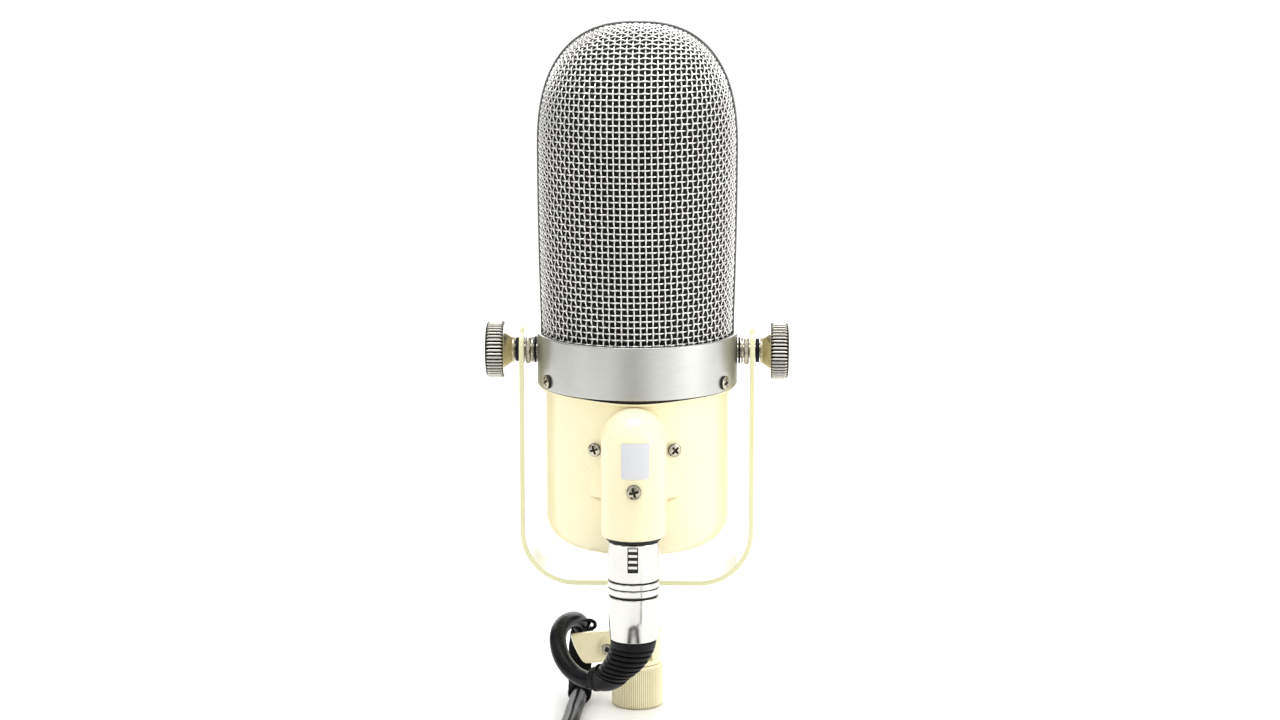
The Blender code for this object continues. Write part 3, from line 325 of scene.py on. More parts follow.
def cableJacket():
    f = Finish("cableJacket", Specular_IOR_Level=0.09)
    cloud = f.noise(120, 4)
    fine = f.noise(2600, 2)
    f.set(Base_Color=f.mix(cloud, (0.006, 0.006, 0.0075), (0.011, 0.011, 0.013)),
          Roughness=f.between(cloud, 0.3, 0.7, 0.22, 0.32), Normal=f.bump(fine, 0.012 * mm, 0.5))
    return f.material


def bootRubber():
    f = Finish("bootRubber", Specular_IOR_Level=0.13)
    cloud = f.noise(200, 4)
    fine = f.noise(3000, 3)
    f.set(Base_Color=f.mix(cloud, (0.005, 0.005, 0.006), (0.011, 0.011, 0.012)),
          Roughness=f.between(cloud, 0.3, 0.7, 0.36, 0.50), Normal=f.bump(fine, 0.03 * mm, 0.6))
    return f.material


def strapCloth():
    f = Finish("strapCloth", Specular_IOR_Level=0.04)
    z = f.parts(f.where())[2]
    loops = f.noise(2400, 4)
    rib = f.maths("SINE", z * 7000.0) * 0.25
    f.set(Base_Color=f.mix(loops, (0.003, 0.003, 0.0035), (0.010, 0.010, 0.011)),
          Roughness=0.85, Normal=f.bump(loops + rib, 0.12 * mm, 0.7))
    return f.material


def labelPaper():
    f = Finish("labelPaper", Specular_IOR_Level=0.35)
    fibre = f.noise(1600, 5)
    f.set(Base_Color=f.mix(fibre, (0.58, 0.585, 0.60), (0.66, 0.665, 0.68)), Roughness=0.5,
          Normal=f.bump(fibre, 0.01 * mm, 0.4))
    return f.material


def blackPlastic():
    f = Finish("blackPlastic", Specular_IOR_Level=0.3)
    fine = f.noise(1500, 3)
    f.set(Base_Color=f.mix(fine, (0.006, 0.006, 0.006), (0.012, 0.012, 0.012)), Roughness=0.5,
          Normal=f.bump(fine, 0.02 * mm, 0.4))
    return f.material


def plainMetal(name, dark, light, roughness, metallic):
    f = Finish(name, Metallic=metallic)
    cloud = f.noise(300, 4)
    f.set(Base_Color=f.mix(cloud, dark, light), Normal=f.bump(cloud, 0.02 * mm, 0.4),
          Roughness=f.between(cloud, 0.3, 0.7, roughness - 0.06, roughness + 0.06))
    return f.material


def floorPaper():
    f = Finish("floorPaper", Roughness=0.8, Specular_IOR_Level=0.1,
               Emission_Color=(1, 1, 1), Emission_Strength=0.05)
    cloud = f.noise(1.5, 3)
    f.set(Base_Color=f.mix(cloud, (0.95, 0.95, 0.95), (0.97, 0.97, 0.97)))
    return f.material


finishes = {
    "enamel": creamEnamel("creamEnamel", (1.0, 1.01, 1.02), 0.35),
    # painted shade: the yoke and the lever wing are the body's cream paint in darker, greener tones
    "yoke": creamEnamel("yokeEnamel", (0.86, 0.93, 0.87), 1.0),
    "casting": creamEnamel("castingEnamel", (0.90, 0.91, 0.90), 0.35),
    "brushed": brushedSteel(), "wire": brightWire(),
    "hoop": hoopSteel(), "screen": darkScreen(), "nickel": nickelPlate(),
    "fastener": fastenerNickel(), "knob": knobNickel(), "ring": ringEnamel(),
    "recess": recessBlack(), "jacket": cableJacket(), "rubber": bootRubber(),
    "strap": strapCloth(), "paper": labelPaper(), "plastic": blackPlastic(),
    "magnet": plainMetal("magnetAlloy", (0.16, 0.16, 0.17), (0.28, 0.28, 0.29), 0.45, 0.8),
    "foil": plainMetal("ribbonFoil", (0.80, 0.81, 0.82), (0.90, 0.91, 0.92), 0.22, 1.0),
    "can": plainMetal("shieldCan", (0.40, 0.38, 0.33), (0.52, 0.50, 0.45), 0.38, 0.7),
}
print("finishes made:", len(finishes))


# Mesh helpers

def addPiece(name, vertices, faces, finish, angle=50):
    mesh = bpy.data.meshes.new(name)
    mesh.from_pydata([tuple(v) for v in vertices], [], [tuple(f) for f in faces])
    mesh.validate()
    mesh.shade_smooth()
    mesh.set_sharp_from_angle(angle=math.radians(angle))
    piece = bpy.data.objects.new(name, mesh)
    bpy.context.scene.collection.objects.link(piece)
    if finish:
        mesh.materials.append(finishes[finish])
    return piece


def settle(piece, body, slot, *nodes):
    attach(piece, body)
    if nodes:
        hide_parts(*nodes)


def eased(points, radius, turns=4):
    # a profile with its corners rounded; a third number on a point is that corner's own radius
    spots = [Vector(p[:2]) for p in points]
    radii = [p[2] if len(p) > 2 else radius for p in points]
    out = [tuple(spots[0])]
    for before, spot, after, r in zip(spots, spots[1:], spots[2:], radii[1:]):
        back, ahead = before - spot, after - spot
        cut = min(r, back.length * 0.32, ahead.length * 0.32)
        if cut < 1e-6 or abs(back.angle(ahead) - math.pi) < 0.03:
            out.append(tuple(spot))
            continue
        back, ahead = back.normalized() * cut, ahead.normalized() * cut
        out.append(tuple(spot + back * 1.45))
        for i in range(turns + 1):
            t = i / turns
            out.append(tuple(spot + back * (1 - t) ** 2 + ahead * t ** 2))
        out.append(tuple(spot + ahead * 1.45))
    out.append(tuple(spots[-1]))
    return out


def easedRing(points, radius, turns=4):
    # the same for a closed profile
    middle = (Vector(points[0][:2]) + Vector(points[-1][:2])) / 2
    return eased([tuple(middle), *points, tuple(middle)], radius, turns)[:-1]


def facing(at, axis):
    # moves a piece made about Z to its place, along axis
    turn = Vector(axis).to_track_quat("Z", "Y").to_matrix().to_4x4()
    return Matrix.Translation(Vector(at)) @ turn


def turned(name, profile, finish, steps=128, at=(0, 0, 0), axis=(0, 0, 1), closed=False,
           ridges=None, angle=50):
    # profile runs from the low centre up the outside; ridges gives a groove depth per point
    vertices, rings = [], []
    for k, (r, z) in enumerate(profile):
        if r < 1e-6:
            rings.append([len(vertices)] * steps)
            vertices.append((0.0, 0.0, z))
            continue
        rings.append(list(range(len(vertices), len(vertices) + steps)))
        for i in range(steps):
            turn = 2 * math.pi * i / steps
            here = r - (ridges(k, turn) if ridges else 0.0)
            vertices.append((here * math.cos(turn), here * math.sin(turn), z))
    pairs = list(zip(rings, rings[1:]))
    if closed:
        pairs.append((rings[-1], rings[0]))
    faces = []
    for low, high in pairs:
        for i in range(steps):
            j = (i + 1) % steps
            corner = [low[i], low[j], high[j], high[i]]
            face = [c for n, c in enumerate(corner) if c != corner[n - 1]]
            if len(face) > 2:
                faces.append(face)
    place = facing(at, axis)
    return addPiece(name, [place @ Vector(v) for v in vertices], faces, finish, angle)


def washer(name, inner, outer, low, high, finish, at, axis, steps=72, edge=0.15 * mm):
    ring = easedRing([(inner, low), (outer, low), (outer, high), (inner, high)], edge, 3)
    return turned(name, ring, finish, steps, at, axis, closed=True)


def smoothRoute(points, spacing):
    # evenly spaced points on a smooth curve through the given ones
    knots = [Vector(p) for p in points]
    knots = [2 * knots[0] - knots[1], *knots, 2 * knots[-1] - knots[-2]]
    fine = []
    for a, b, c, d in zip(knots, knots[1:], knots[2:], knots[3:]):
        for i in range(24):
            t = i / 24
            fine.append(0.5 * (2 * b + (c - a) * t + (2 * a - 5 * b + 4 * c - d) * t ** 2
                               + (3 * b - a - 3 * c + d) * t ** 3))
    fine.append(knots[-2])
    return evenly(fine, spacing)


def evenly(fine, spacing):
    fine = np.array([tuple(p) for p in fine])
    along = np.concatenate([[0], np.cumsum(np.linalg.norm(np.diff(fine, axis=0), axis=1))])
    count = max(2, round(along[-1] / spacing))
    stops = np.linspace(0, along[-1], count + 1)
    return [Vector([np.interp(s, along, fine[:, k]) for k in range(3)]) for s in stops]


def lengthOf(points):
    return sum((b - a).length for a, b in zip(points, points[1:]))


def directions(points):
    last = len(points) - 1
    return [(points[min(i + 1, last)] - points[max(i - 1, 0)]).normalized()
            for i in range(last + 1)]


def sweptFaces(rows, ring):
    # faces of rows of points, each a closed ring, with both ends closed
    faces = []
    for i in range(rows - 1):
        for k in range(ring):
            j = (k + 1) % ring
            a, b = i * ring, (i + 1) * ring
            faces.append((a + k, a + j, b + j, b + k))
    faces.append(tuple(range(ring))[::-1])
    faces.append(tuple(range((rows - 1) * ring, rows * ring)))
    return faces


def tube(name, points, radii, finish, sides=20, flat=None, planes=None):
    # a closed tube; radii may be one number or a list, flat squeezes it sideways, and planes
    # gives the way each ring faces when that isn't along the tube
    points = [Vector(p) for p in points]
    count = len(points)
    radii = radii if isinstance(radii, list) else [radii] * count
    ahead = planes or directions(points)
    side = ahead[0].orthogonal()
    vertices = []
    for i, point in enumerate(points):
        side = (side - ahead[i] * side.dot(ahead[i])).normalized()
        other = ahead[i].cross(side)
        thick = flat[i] if flat else 1.0
        for k in range(sides):
            turn = 2 * math.pi * k / sides
            vertices.append(point + side * radii[i] * math.cos(turn)
                            + other * radii[i] * thick * math.sin(turn))
    return addPiece(name, vertices, sweptFaces(count, sides), finish, 60)


def fixNormals(piece):
    bm = bmesh.new()
    bm.from_mesh(piece.data)
    bmesh.ops.recalc_face_normals(bm, faces=bm.faces)
    bm.to_mesh(piece.data)
    bm.free()


def slab(name, spots, finish=None, angle=50):
    # a solid between two matching outlines, given one after the other
    n = len(spots) // 2
    faces = [tuple(range(n)), tuple(range(n, 2 * n))[::-1]]
    faces += [(i, i + n, (i + 1) % n + n, (i + 1) % n) for i in range(n)]
    piece = addPiece(name, spots, faces, finish, angle)
    fixNormals(piece)
    return piece


def bakedMesh(piece):
    # its modifiers made real
    bpy.context.view_layer.update()
    graph = bpy.context.evaluated_depsgraph_get()
    mesh = bpy.data.meshes.new_from_object(piece.evaluated_get(graph))
    piece.modifiers.clear()
    piece.data = mesh


def softEdges(piece, width):
    step = piece.modifiers.new("edge", "BEVEL")
    step.width = width
    step.segments = 2
    step.limit_method = "ANGLE"
    step.angle_limit = math.radians(40)
    bakedMesh(piece)


def carved(piece, cutters, operation="DIFFERENCE"):
    for cutter in cutters:
        step = piece.modifiers.new("carve", "BOOLEAN")
        step.operation = operation
        step.solver = "EXACT"
        step.object = cutter
    bakedMesh(piece)
    for cutter in cutters:
        bpy.data.objects.remove(cutter, do_unlink=True)


def brick(name, low, high, place=None):
    # a box with its corners at low and high, used for carving
    spots = [(x, y, z) for x in (low[0], high[0]) for y in (low[1], high[1])
             for z in (low[2], high[2])]
    faces = [(0, 1, 3, 2), (4, 6, 7, 5), (0, 4, 5, 1), (2, 3, 7, 6), (0, 2, 6, 4), (1, 5, 7, 3)]
    place = place or Matrix.Identity(4)
    return addPiece(name, [place @ Vector(s) for s in spots], faces, None)


def cast(piece, parts, grain, smoothing):
    # several closed shapes made one casting with soft inner corners
    with bpy.context.temp_override(active_object=piece, selected_editable_objects=[piece, *parts]):
        bpy.ops.object.join()
    step = piece.modifiers.new("cast", "REMESH")
    step.mode = "VOXEL"
    step.voxel_size = grain
    step.use_smooth_shade = True
    soft = piece.modifiers.new("soft", "SMOOTH")
    soft.factor = 0.5
    soft.iterations = smoothing
    bakedMesh(piece)


def paint(piece, finish, angle=None):
    # with an angle, also smooth shading with edges sharper than it kept
    if angle:
        piece.data.shade_smooth()
        piece.data.set_sharp_from_angle(angle=math.radians(angle))
    piece.data.materials.clear()
    piece.data.materials.append(finishes[finish])


def paintWhere(piece, finish, chosen):
    # a second finish on the faces that chosen picks
    piece.data.materials.append(finishes[finish])
    for face in piece.data.polygons:
        if chosen(face):
            face.material_index = 1


# Cable: its route is in three stretches

cable = {
    "radius": 3.25 * mm,
    "fromBoot": [(-14.4, -40.9, 22.2), (-17.6, -38.4, 21.2), (-22.6, -33.2, 21.9),
                 (-27.0, -28.0, 25.0), (-29.5, -22.0, 29.2), (-29.9, -15.0, 32.4),
                 (-28.2, -8.0, 34.2), (-25.2, -0.5, 33.6), (-22.9, 6.6, 30.6),
                 (-22.0, 11.2, 26.2)],
    "inTie": [(-22.2, 12.5, 24.3), (-22.8, 13.7, 20.0), (-23.2, 13.6, 14.0),
              (-23.1, 11.2, 8.8), (-22.8, 6.6, 5.6), (-22.5, 0.4, 4.75), (-22.5, -5.6, 4.7)],
    "onTable": [(-22.6, -6.1, 4.7), (-23.2, -14.0, 3.9), (-24.0, -22.0, 3.3),
                (-24.4, -33.0, 3.26), (-26.2, -50.0, 3.26), (-30.0, -66.0, 3.26),
                (-35.4, -84.0, 3.26), (-41.6, -101.4, 3.26)],
    "spacing": 1.2 * mm, "runSpacing": 2.6 * mm, "cut": 41 * mm,
    # the coil: where its turns change lane, and how far apart its points are, in degrees
    "lanes": 4, "layers": 3, "turns": 11, "changeFrom": 140, "changeTo": 200, "lead": 8,
    "step": 7.5,
    # the end comes over the coil: degrees, radius and drop below the top
    "overTop": [(218, 36.2, 3.6), (232, 39.0, 0.6), (246, 44.0, 0.0), (258, 49.4, 1.6),
                (269, 54.2, 6.2), (279, 56.6, 10.6)],
    "intoPlug": [(-12.6, -3.9, 1.0), (-6.0, -1.2, 0.2), (0.0, 0.0, 0.0)],
}


def metres(points):
    return [Vector(p) * mm for p in points]


def coilRoute():
    # turns lie side by side, outside to inside and back, layer on layer
    low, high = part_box("cord_coil")
    middle = (low + high) / 2
    wide = 2 * cable["radius"]
    outer = (high.x - low.x) / 2 - cable["radius"]
    lanes = []
    for layer in range(cable["layers"]):
        row = [(outer - wide * k, cable["radius"] + wide * layer) for k in range(cable["lanes"])]
        lanes += row if layer % 2 == 0 else row[::-1]
    lanes = lanes[:cable["turns"]]
    arrive = (Vector(cable["onTable"][-1]) * mm) - middle
    lanes.insert(0, (arrive.to_2d().length, cable["radius"]))
    points = []
    first = math.degrees(math.atan2(arrive.y, arrive.x)) + cable["lead"]
    for k in range(len(lanes) - 1):
        turn = first if k == 0 else cable["changeFrom"] + cable["step"]
        leave = first if k == 0 else cable["changeFrom"]
        while turn < cable["changeFrom"] + 360:
            t = min(1.0, max(0.0, (turn - leave) / (cable["changeTo"] - leave)))
            t = t * t * (3 - 2 * t)
            r = lanes[k][0] + (lanes[k + 1][0] - lanes[k][0]) * t
            z = lanes[k][1] + (lanes[k + 1][1] - lanes[k][1]) * t
            points.append(spotOnCoil(middle, turn, r, z))
            turn += cable["step"]
    return points, middle


def spotOnCoil(middle, degrees, r, z):
    turn = math.radians(degrees)
    return Vector((middle.x + r * math.cos(turn), middle.y + r * math.sin(turn), z))


def makeCable():
    first = smoothRoute(metres(cable["fromBoot"]), cable["spacing"])
    cutAt = next(i for i in range(len(first)) if lengthOf(first[:i + 1]) > cable["cut"])
    out = first[:cutAt + 1]
    down = [first[-1], *metres(cable["inTie"] + cable["onTable"][:1])]
    tied = first[cutAt:] + smoothRoute(down, cable["spacing"])[1:]
    radius = cable["radius"]
    cordOut = tube("cordFromBoot", out, radius, "jacket", 24)
    cordTied = tube("cordInTie", tied, radius, "jacket", 24)

    turns, middle = coilRoute()
    top = radius * 2 * cable["layers"] + radius
    tail = [spotOnCoil(middle, a, r * mm, top - drop * mm) for a, r, drop in cable["overTop"]]
    low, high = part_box("far_plug_boot")
    end = Vector((low.x - 0.2 * mm, (low.y + high.y) / 2, (low.z + high.z) / 2))
    tail += [end + step for step in metres(cable["intoPlug"])]
    run = smoothRoute(metres(cable["onTable"]) + turns + tail, cable["runSpacing"])
    cordRun = tube("cordOnTable", run, radius, "jacket", 16)

    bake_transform(cordOut)
    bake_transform(cordTied)
    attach(cordRun, "root")
    cordRun.visible_glossy = False
    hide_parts("cord_upper")
    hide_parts("cord_lower", "cord_coil")
    return (cordOut, out), (cordTied, tied), (cordRun, run)


tie = {"wide": 4.6 * mm, "wave": 0.08 * mm, "start": (-22.0, 12.2, 26.2),
       "eye": (-19.3, 5.2, 29.9), "eyeSize": (2.6, 0.8, 1.6), "eyeWire": 0.75 * mm,
       "tail": [(-21.0, 10.4, 26.4), (-20.6, 8.4, 28.0), (-19.9, 6.4, 29.2)],
       "tailWide": 2.4 * mm, "tailThin": 0.35}


def makeTie():
    # a hook-and-loop strap rolled round the cable, its tail's end curled to a small eye
    route = smoothRoute(metres([tie["start"], *cable["inTie"][1:]]), 0.9 * mm)
    count = len(route)
    radii = []
    for i in range(count):
        t = i / (count - 1)
        edge = min(1.0, 12 * min(t, 1 - t))
        radii.append(tie["wide"] * (0.93 + 0.07 * edge) + tie["wave"] * math.sin(i * 0.9))
    sleeve = tube("cableTie", route, radii, "strap", 32)
    (x, y, z), (wide, deep, tall) = tie["eye"], tie["eyeSize"]
    turns = [2 * math.pi * i / 32 for i in range(33)]
    ring = metres([(x + wide * math.cos(t), y + deep * math.sin(t), z + tall * math.sin(t))
                   for t in turns])
    eye = tube("cableTieEye", ring, tie["eyeWire"], "jacket", 12)
    tail = smoothRoute(metres(tie["tail"]), 0.6 * mm)
    tongue = tube("cableTieTail", tail, tie["tailWide"], "strap", 16,
                  [tie["tailThin"]] * len(tail))
    settle(sleeve, "root", "rubber", "cord_tie")
    settle(eye, "root", "rubber")
    settle(tongue, "root", "rubber")
    return [sleeve, eye, tongue]


cords = makeCable()
tiePieces = makeTie()
print("cable made")


# Woven grille

weave = {"pitch": 2.33 * mm, "wire": 0.36 * mm, "lift": 0.36 * mm, "tilt": math.radians(0.6),
         "domePower": 2.5, "baseInset": 1.1 * mm, "shoulder": 217 * mm, "perPitch": 4,
         "sides": 6, "seam": 1.0 * mm, "below": 2.2 * mm, "inset": 0.72 * mm, "mostRows": 80}
hoop = {"rise": 0.5 * mm, "deep": 1.6 * mm, "wide": 1.8 * mm, "edge": 0.4 * mm}
screen = {"outer": 2.2 * mm, "inner": 2.6 * mm}
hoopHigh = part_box("grille_hoop")[1]
bandLow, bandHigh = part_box("band_ring")
grilleRadius = hoopHigh.x - hoop["rise"]
grilleTop = hoopHigh.z - hoop["rise"]
bandTop = bandHigh.z


def outlineRadius(z, inset):
    # radius of the grille's form at height z, measured inset below its outside
    full = grilleRadius - inset
    if z <= weave["shoulder"]:
        t = min(1.0, max(0.0, (z - bandTop) / (weave["shoulder"] - bandTop)))
        return full - weave["baseInset"] * (1 - math.sin(t * math.pi / 2))
    high = grilleTop - inset - weave["shoulder"]
    t = min(1.0, (z - weave["shoulder"]) / high)
    return full * max(0.0, 1 - t ** weave["domePower"]) ** (1 / weave["domePower"])


def formGap(p, inset):
    # how far a point is outside the form, roughly, as a smooth function
    r = math.hypot(p[0], p[1])
    z = p[2]
    if z <= weave["shoulder"]:
        return r - outlineRadius(z, inset)
    full = grilleRadius - inset
    high = grilleTop - inset - weave["shoulder"]
    k = weave["domePower"]
    size = ((r / full) ** k + ((z - weave["shoulder"]) / high) ** k) ** (1 / k)
    return (size - 1) * full


def formSlope(p, inset):
    step = 1e-6
    return np.array([(formGap(p + d, inset) - formGap(p - d, inset)) / (2 * step)
                     for d in np.eye(3) * step])


def layNet(inset):
    # wires keep their spacing along themselves and shear where the form is domed
    pitch = weave["pitch"]
    across = int(math.pi / 2 * grilleRadius / pitch) + 3
    start = bandTop - weave["below"]
    net = {}
    c, s = math.cos(weave["tilt"]), math.sin(weave["tilt"])
    radius = outlineRadius(start, inset)
    for i in range(-across, across + 1):
        turn = i * pitch * c / radius
        z = start + i * pitch * s
        r = outlineRadius(z, inset)
        net[i, 0] = np.array([r * math.sin(turn), -r * math.cos(turn), z])
    for j in range(1, weave["mostRows"]):
        below = net[0, j - 1]
        way = below - net[0, j - 2] if j > 1 else np.array([-s * pitch, 0, c * pitch])
        net[0, j] = onForm(below, None, below + way, inset)
        if net[0, j][1] > pitch:
            break
        for side in (1, -1):
            for i in range(side, side * (across + 1), side):
                inner, lower = net.get((i - side, j)), net.get((i, j - 1))
                corner = net.get((i - side, j - 1))
                if inner is None or lower is None or inner[1] > 1.5 * pitch:
                    break
                spot = onForm(inner, lower, inner + lower - corner, inset)
                if spot is None:
                    break
                net[i, j] = spot
    return net


def onForm(first, second, guess, inset):
    # the point one pitch from first and from second, on the form
    pitch = weave["pitch"]
    p = guess.copy()
    for _ in range(12):
        slope = formSlope(p, inset)
        rows, wrong = [slope], [formGap(p, inset)]
        for anchor in (first, second):
            if anchor is None:
                continue
            gap = p - anchor
            far = np.linalg.norm(gap)
            rows.append(gap / far)
            wrong.append(far - pitch)
        move = np.linalg.lstsq(np.array(rows), np.array(wrong), rcond=None)[0]
        p = p - move
        if np.linalg.norm(move) < 1e-7:
            break
    if abs(formGap(p, inset)) > 0.2 * mm or np.linalg.norm(p - guess) > pitch:
        return None
    return p


def curveThrough(points, perStep):
    knots = np.array([2 * points[0] - points[1], *points, 2 * points[-1] - points[-2]])
    out = []
    for a, b, c, d in zip(knots, knots[1:], knots[2:], knots[3:]):
        for k in range(perStep):
            t = k / perStep
            out.append(0.5 * (2 * b + (c - a) * t + (2 * a - 5 * b + 4 * c - d) * t ** 2
                              + (3 * b - a - 3 * c + d) * t ** 3))
    out.append(points[-1])
    return np.array(out)


def weaveWires(net, along):
    # one tube for each wire; along is 1 for the upright wires and 0 for the level ones
    lines = {}
    for (i, j), spot in net.items():
        lines.setdefault((i, j)[1 - along], {})[(i, j)[along]] = spot
    vertices, faces = [], []
    sides, per = weave["sides"], weave["perPitch"]
    for number in sorted(lines):
        line = lines[number]
        order = sorted(line)
        if len(order) < 3:
            continue
        path = curveThrough([line[n] for n in order], per)
        count = len(path)
        step = order[0] + np.arange(count) / per
        sign = 1 if along else -1
        wave = sign * np.cos(math.pi * (step + number)) * weave["lift"]
        out = np.array([formSlope(p, weave["inset"]) for p in path])
        out /= np.linalg.norm(out, axis=1)[:, None]
        path = path + out * wave[:, None]
        keep = path[:, 1] < -weave["seam"]
        if not keep.any():
            continue
        first, last = np.argmax(keep), count - 1 - np.argmax(keep[::-1])
        path, out = path[first:last + 1], out[first:last + 1]
        if len(path) < 4:
            continue
        ahead = np.gradient(path, axis=0)
        ahead /= np.linalg.norm(ahead, axis=1)[:, None]
        out = out - ahead * np.sum(out * ahead, axis=1)[:, None]
        out /= np.linalg.norm(out, axis=1)[:, None]
        other = np.cross(ahead, out)
        base = len(vertices)
        for p, u, v in zip(path, out, other):
            for k in range(sides):
                turn = 2 * math.pi * (k + 0.5) / sides
                vertices.append(p + weave["wire"] * (u * math.cos(turn) + v * math.sin(turn)))
        for i in range(len(path) - 1):
            for k in range(sides):
                a, b = base + i * sides + k, base + i * sides + (k + 1) % sides
                faces.append((a, b, b + sides, a + sides))
        faces.append(tuple(range(base, base + sides))[::-1])
        faces.append(tuple(range(base + (len(path) - 1) * sides, base + len(path) * sides)))
    return vertices, faces


def makeGrille():
    net = layNet(weave["inset"])
    for label, turn in (("Rear", 0.0), ("Front", math.pi)):
        spin = Matrix.Rotation(turn, 3, "Z")
        for kind, along in (("Upright", 1), ("Level", 0)):
            vertices, faces = weaveWires(net, along)
            vertices = np.array(vertices) @ np.array(spin).T
            piece = addPiece("grille" + label + kind, vertices, faces, "wire", 80)
            node = "grille_" + label.lower()
            settle(piece, "head", "wire", *([node] if along else []))


def grilleOutline(inset, low, count):
    # (radius, height) from the foot up to the top of the dome
    heights = [low + (weave["shoulder"] - low) * i / 12 for i in range(12)]
    points = [(outlineRadius(z, inset), z) for z in heights]
    power = 2 / weave["domePower"]
    high = grilleTop - inset - weave["shoulder"]
    for i in range(count + 1):
        turn = math.pi / 2 * i / count
        points.append(((grilleRadius - inset) * math.cos(turn) ** power if i < count else 0.0,
                       weave["shoulder"] + high * math.sin(turn) ** power))
    return points


def makeHoop():
    # folded strip over the seam of the two meshes
    foot = bandTop - weave["below"]
    outer = grilleOutline(-hoop["rise"], foot, 48)
    inner = grilleOutline(hoop["deep"] - hoop["rise"], foot, 48)
    half = hoop["wide"] / 2
    section = easedRing([(-half, hoop["deep"]), (-half, 0.0), (half, 0.0), (half, hoop["deep"])],
                        hoop["edge"], 3)
    path = [(-r, z, -ri, zi) for (r, z), (ri, zi) in zip(outer, inner)]
    path += [(r, z, ri, zi) for (r, z), (ri, zi) in list(zip(outer, inner))[-2::-1]]
    vertices = []
    for x, z, xi, zi in path:
        for y, depth in section:
            t = depth / hoop["deep"]
            vertices.append((x + (xi - x) * t, y, z + (zi - z) * t))
    piece = addPiece("grilleHoop", vertices, sweptFaces(len(path), len(section)), "hoop")
    fixNormals(piece)
    settle(piece, "head", "wire", "grille_hoop")


def makeScreen():
    foot = bandTop - weave["below"]
    outer = grilleOutline(screen["outer"], foot, 40)
    inner = grilleOutline(screen["inner"], foot, 40)
    piece = turned("innerScreen", inner[::-1] + outer, "screen", 96)
    settle(piece, "head", "screen", "inner_screen")


makeGrille()
makeHoop()
makeScreen()
print("grille woven")


# Band and cup

band = {"wall": 1.5 * mm, "topEdge": 0.7 * mm, "edge": 0.35 * mm}


def makeBand():
    outer = bandHigh.x
    inner = outer - band["wall"]
    ring = easedRing([(inner, bandLow.z, 0.2 * mm), (outer, bandLow.z, band["edge"]),
                      (outer, bandTop, band["topEdge"]), (inner, bandTop, 0.2 * mm)],
                     band["edge"], 5)
    piece = turned("bandRing", ring, "brushed", 256, closed=True)
    settle(piece, "head", "brushed", "band_ring")


cup = {"radius": 35.3 * mm, "corner": 11 * mm, "lip": 37.4 * mm, "lipHeight": 0.9 * mm,
       "groove": 0.9 * mm, "grooveHeight": 0.45 * mm, "wall": 1.8 * mm, "tuck": 1.9 * mm,
       "seam": 1.0 * mm, "seamSpread": 24}


def makeCup():
    low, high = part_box("lower_body")
    lipTop = bandLow.z - 0.3 * mm
    lipLow = lipTop - cup["lipHeight"]
    corner = []
    for i in range(13):
        turn = math.radians(-90 + 90 * i / 12)
        corner.append((cup["radius"] - cup["corner"] + cup["corner"] * math.cos(turn),
                       low.z + cup["corner"] + cup["corner"] * math.sin(turn)))
    inner = cup["radius"] - cup["wall"]
    tuck = bandHigh.x - cup["tuck"]
    outside = [(0.0, low.z), *corner] + eased([
        (cup["radius"], low.z + cup["corner"] + 8 * mm),
        (cup["radius"], lipLow - cup["grooveHeight"], 0.15 * mm),
        (cup["radius"] - cup["groove"], lipLow - cup["grooveHeight"], 0.1 * mm),
        (cup["radius"] - cup["groove"], lipLow, 0.1 * mm), (cup["lip"], lipLow, 0.25 * mm),
        (cup["lip"], lipTop, 0.25 * mm), (tuck, lipTop, 0.1 * mm),
        (tuck, high.z, 0.3 * mm), (inner, high.z, 0.3 * mm),
        (inner, low.z + cup["corner"] + 4 * mm)], 0.2 * mm)
    inside = []
    deep = cup["corner"] - cup["wall"]
    for i in range(9):
        turn = math.radians(-90 * i / 8)
        inside.append((inner - deep + deep * math.cos(turn),
                       low.z + cup["wall"] + deep + deep * math.sin(turn)))
    profile = outside + inside + [(0.0, low.z + cup["wall"])]
    piece = turned("lowerBody", profile, "enamel", 224)
    # painted shade: the lip's top and the part tucked under the band are near-black, so the opened seam reads as a
    # dark gap
    paintWhere(piece, "recess", lambda face: face.center.z > lipTop - 0.05 * mm)
    # the seam under the band is open a little at the socket's side
    for vertex in piece.data.vertices:
        x, y, z = vertex.co
        onLip = lipLow - 0.1 * mm < z < lipTop + 0.1 * mm
        if onLip and math.hypot(x, y) > tuck - 0.05 * mm:
            turn = math.degrees(math.atan2(x, -y))
            vertex.co.z -= cup["seam"] * math.exp(-(turn / cup["seamSpread"]) ** 2)
    settle(piece, "head", "enamel", "lower_body")


# Cross-head screws: a round height field with a cross-shaped recess

screws = {"headRise": 1.15 * mm, "crossLong": 0.62, "crossWide": 0.135, "crossDeep": 0.62,
          "rings": 22, "steps": 96, "band": (2.6 * mm, 0.15 * mm), "side": (2.55 * mm, 1.55 * mm),
          "lower": (2.7 * mm, 0.15 * mm)}


def inCross(x, y):
    # 1 inside the cross recess of a head of radius 1, 0 outside
    near, far = sorted((abs(x), abs(y)))
    width = screws["crossWide"] + 0.10 * max(0.0, 0.30 - far)
    edge = max(near - width, (far - screws["crossLong"]) * 0.6)
    return min(1.0, max(0.0, 0.5 - edge / 0.055))


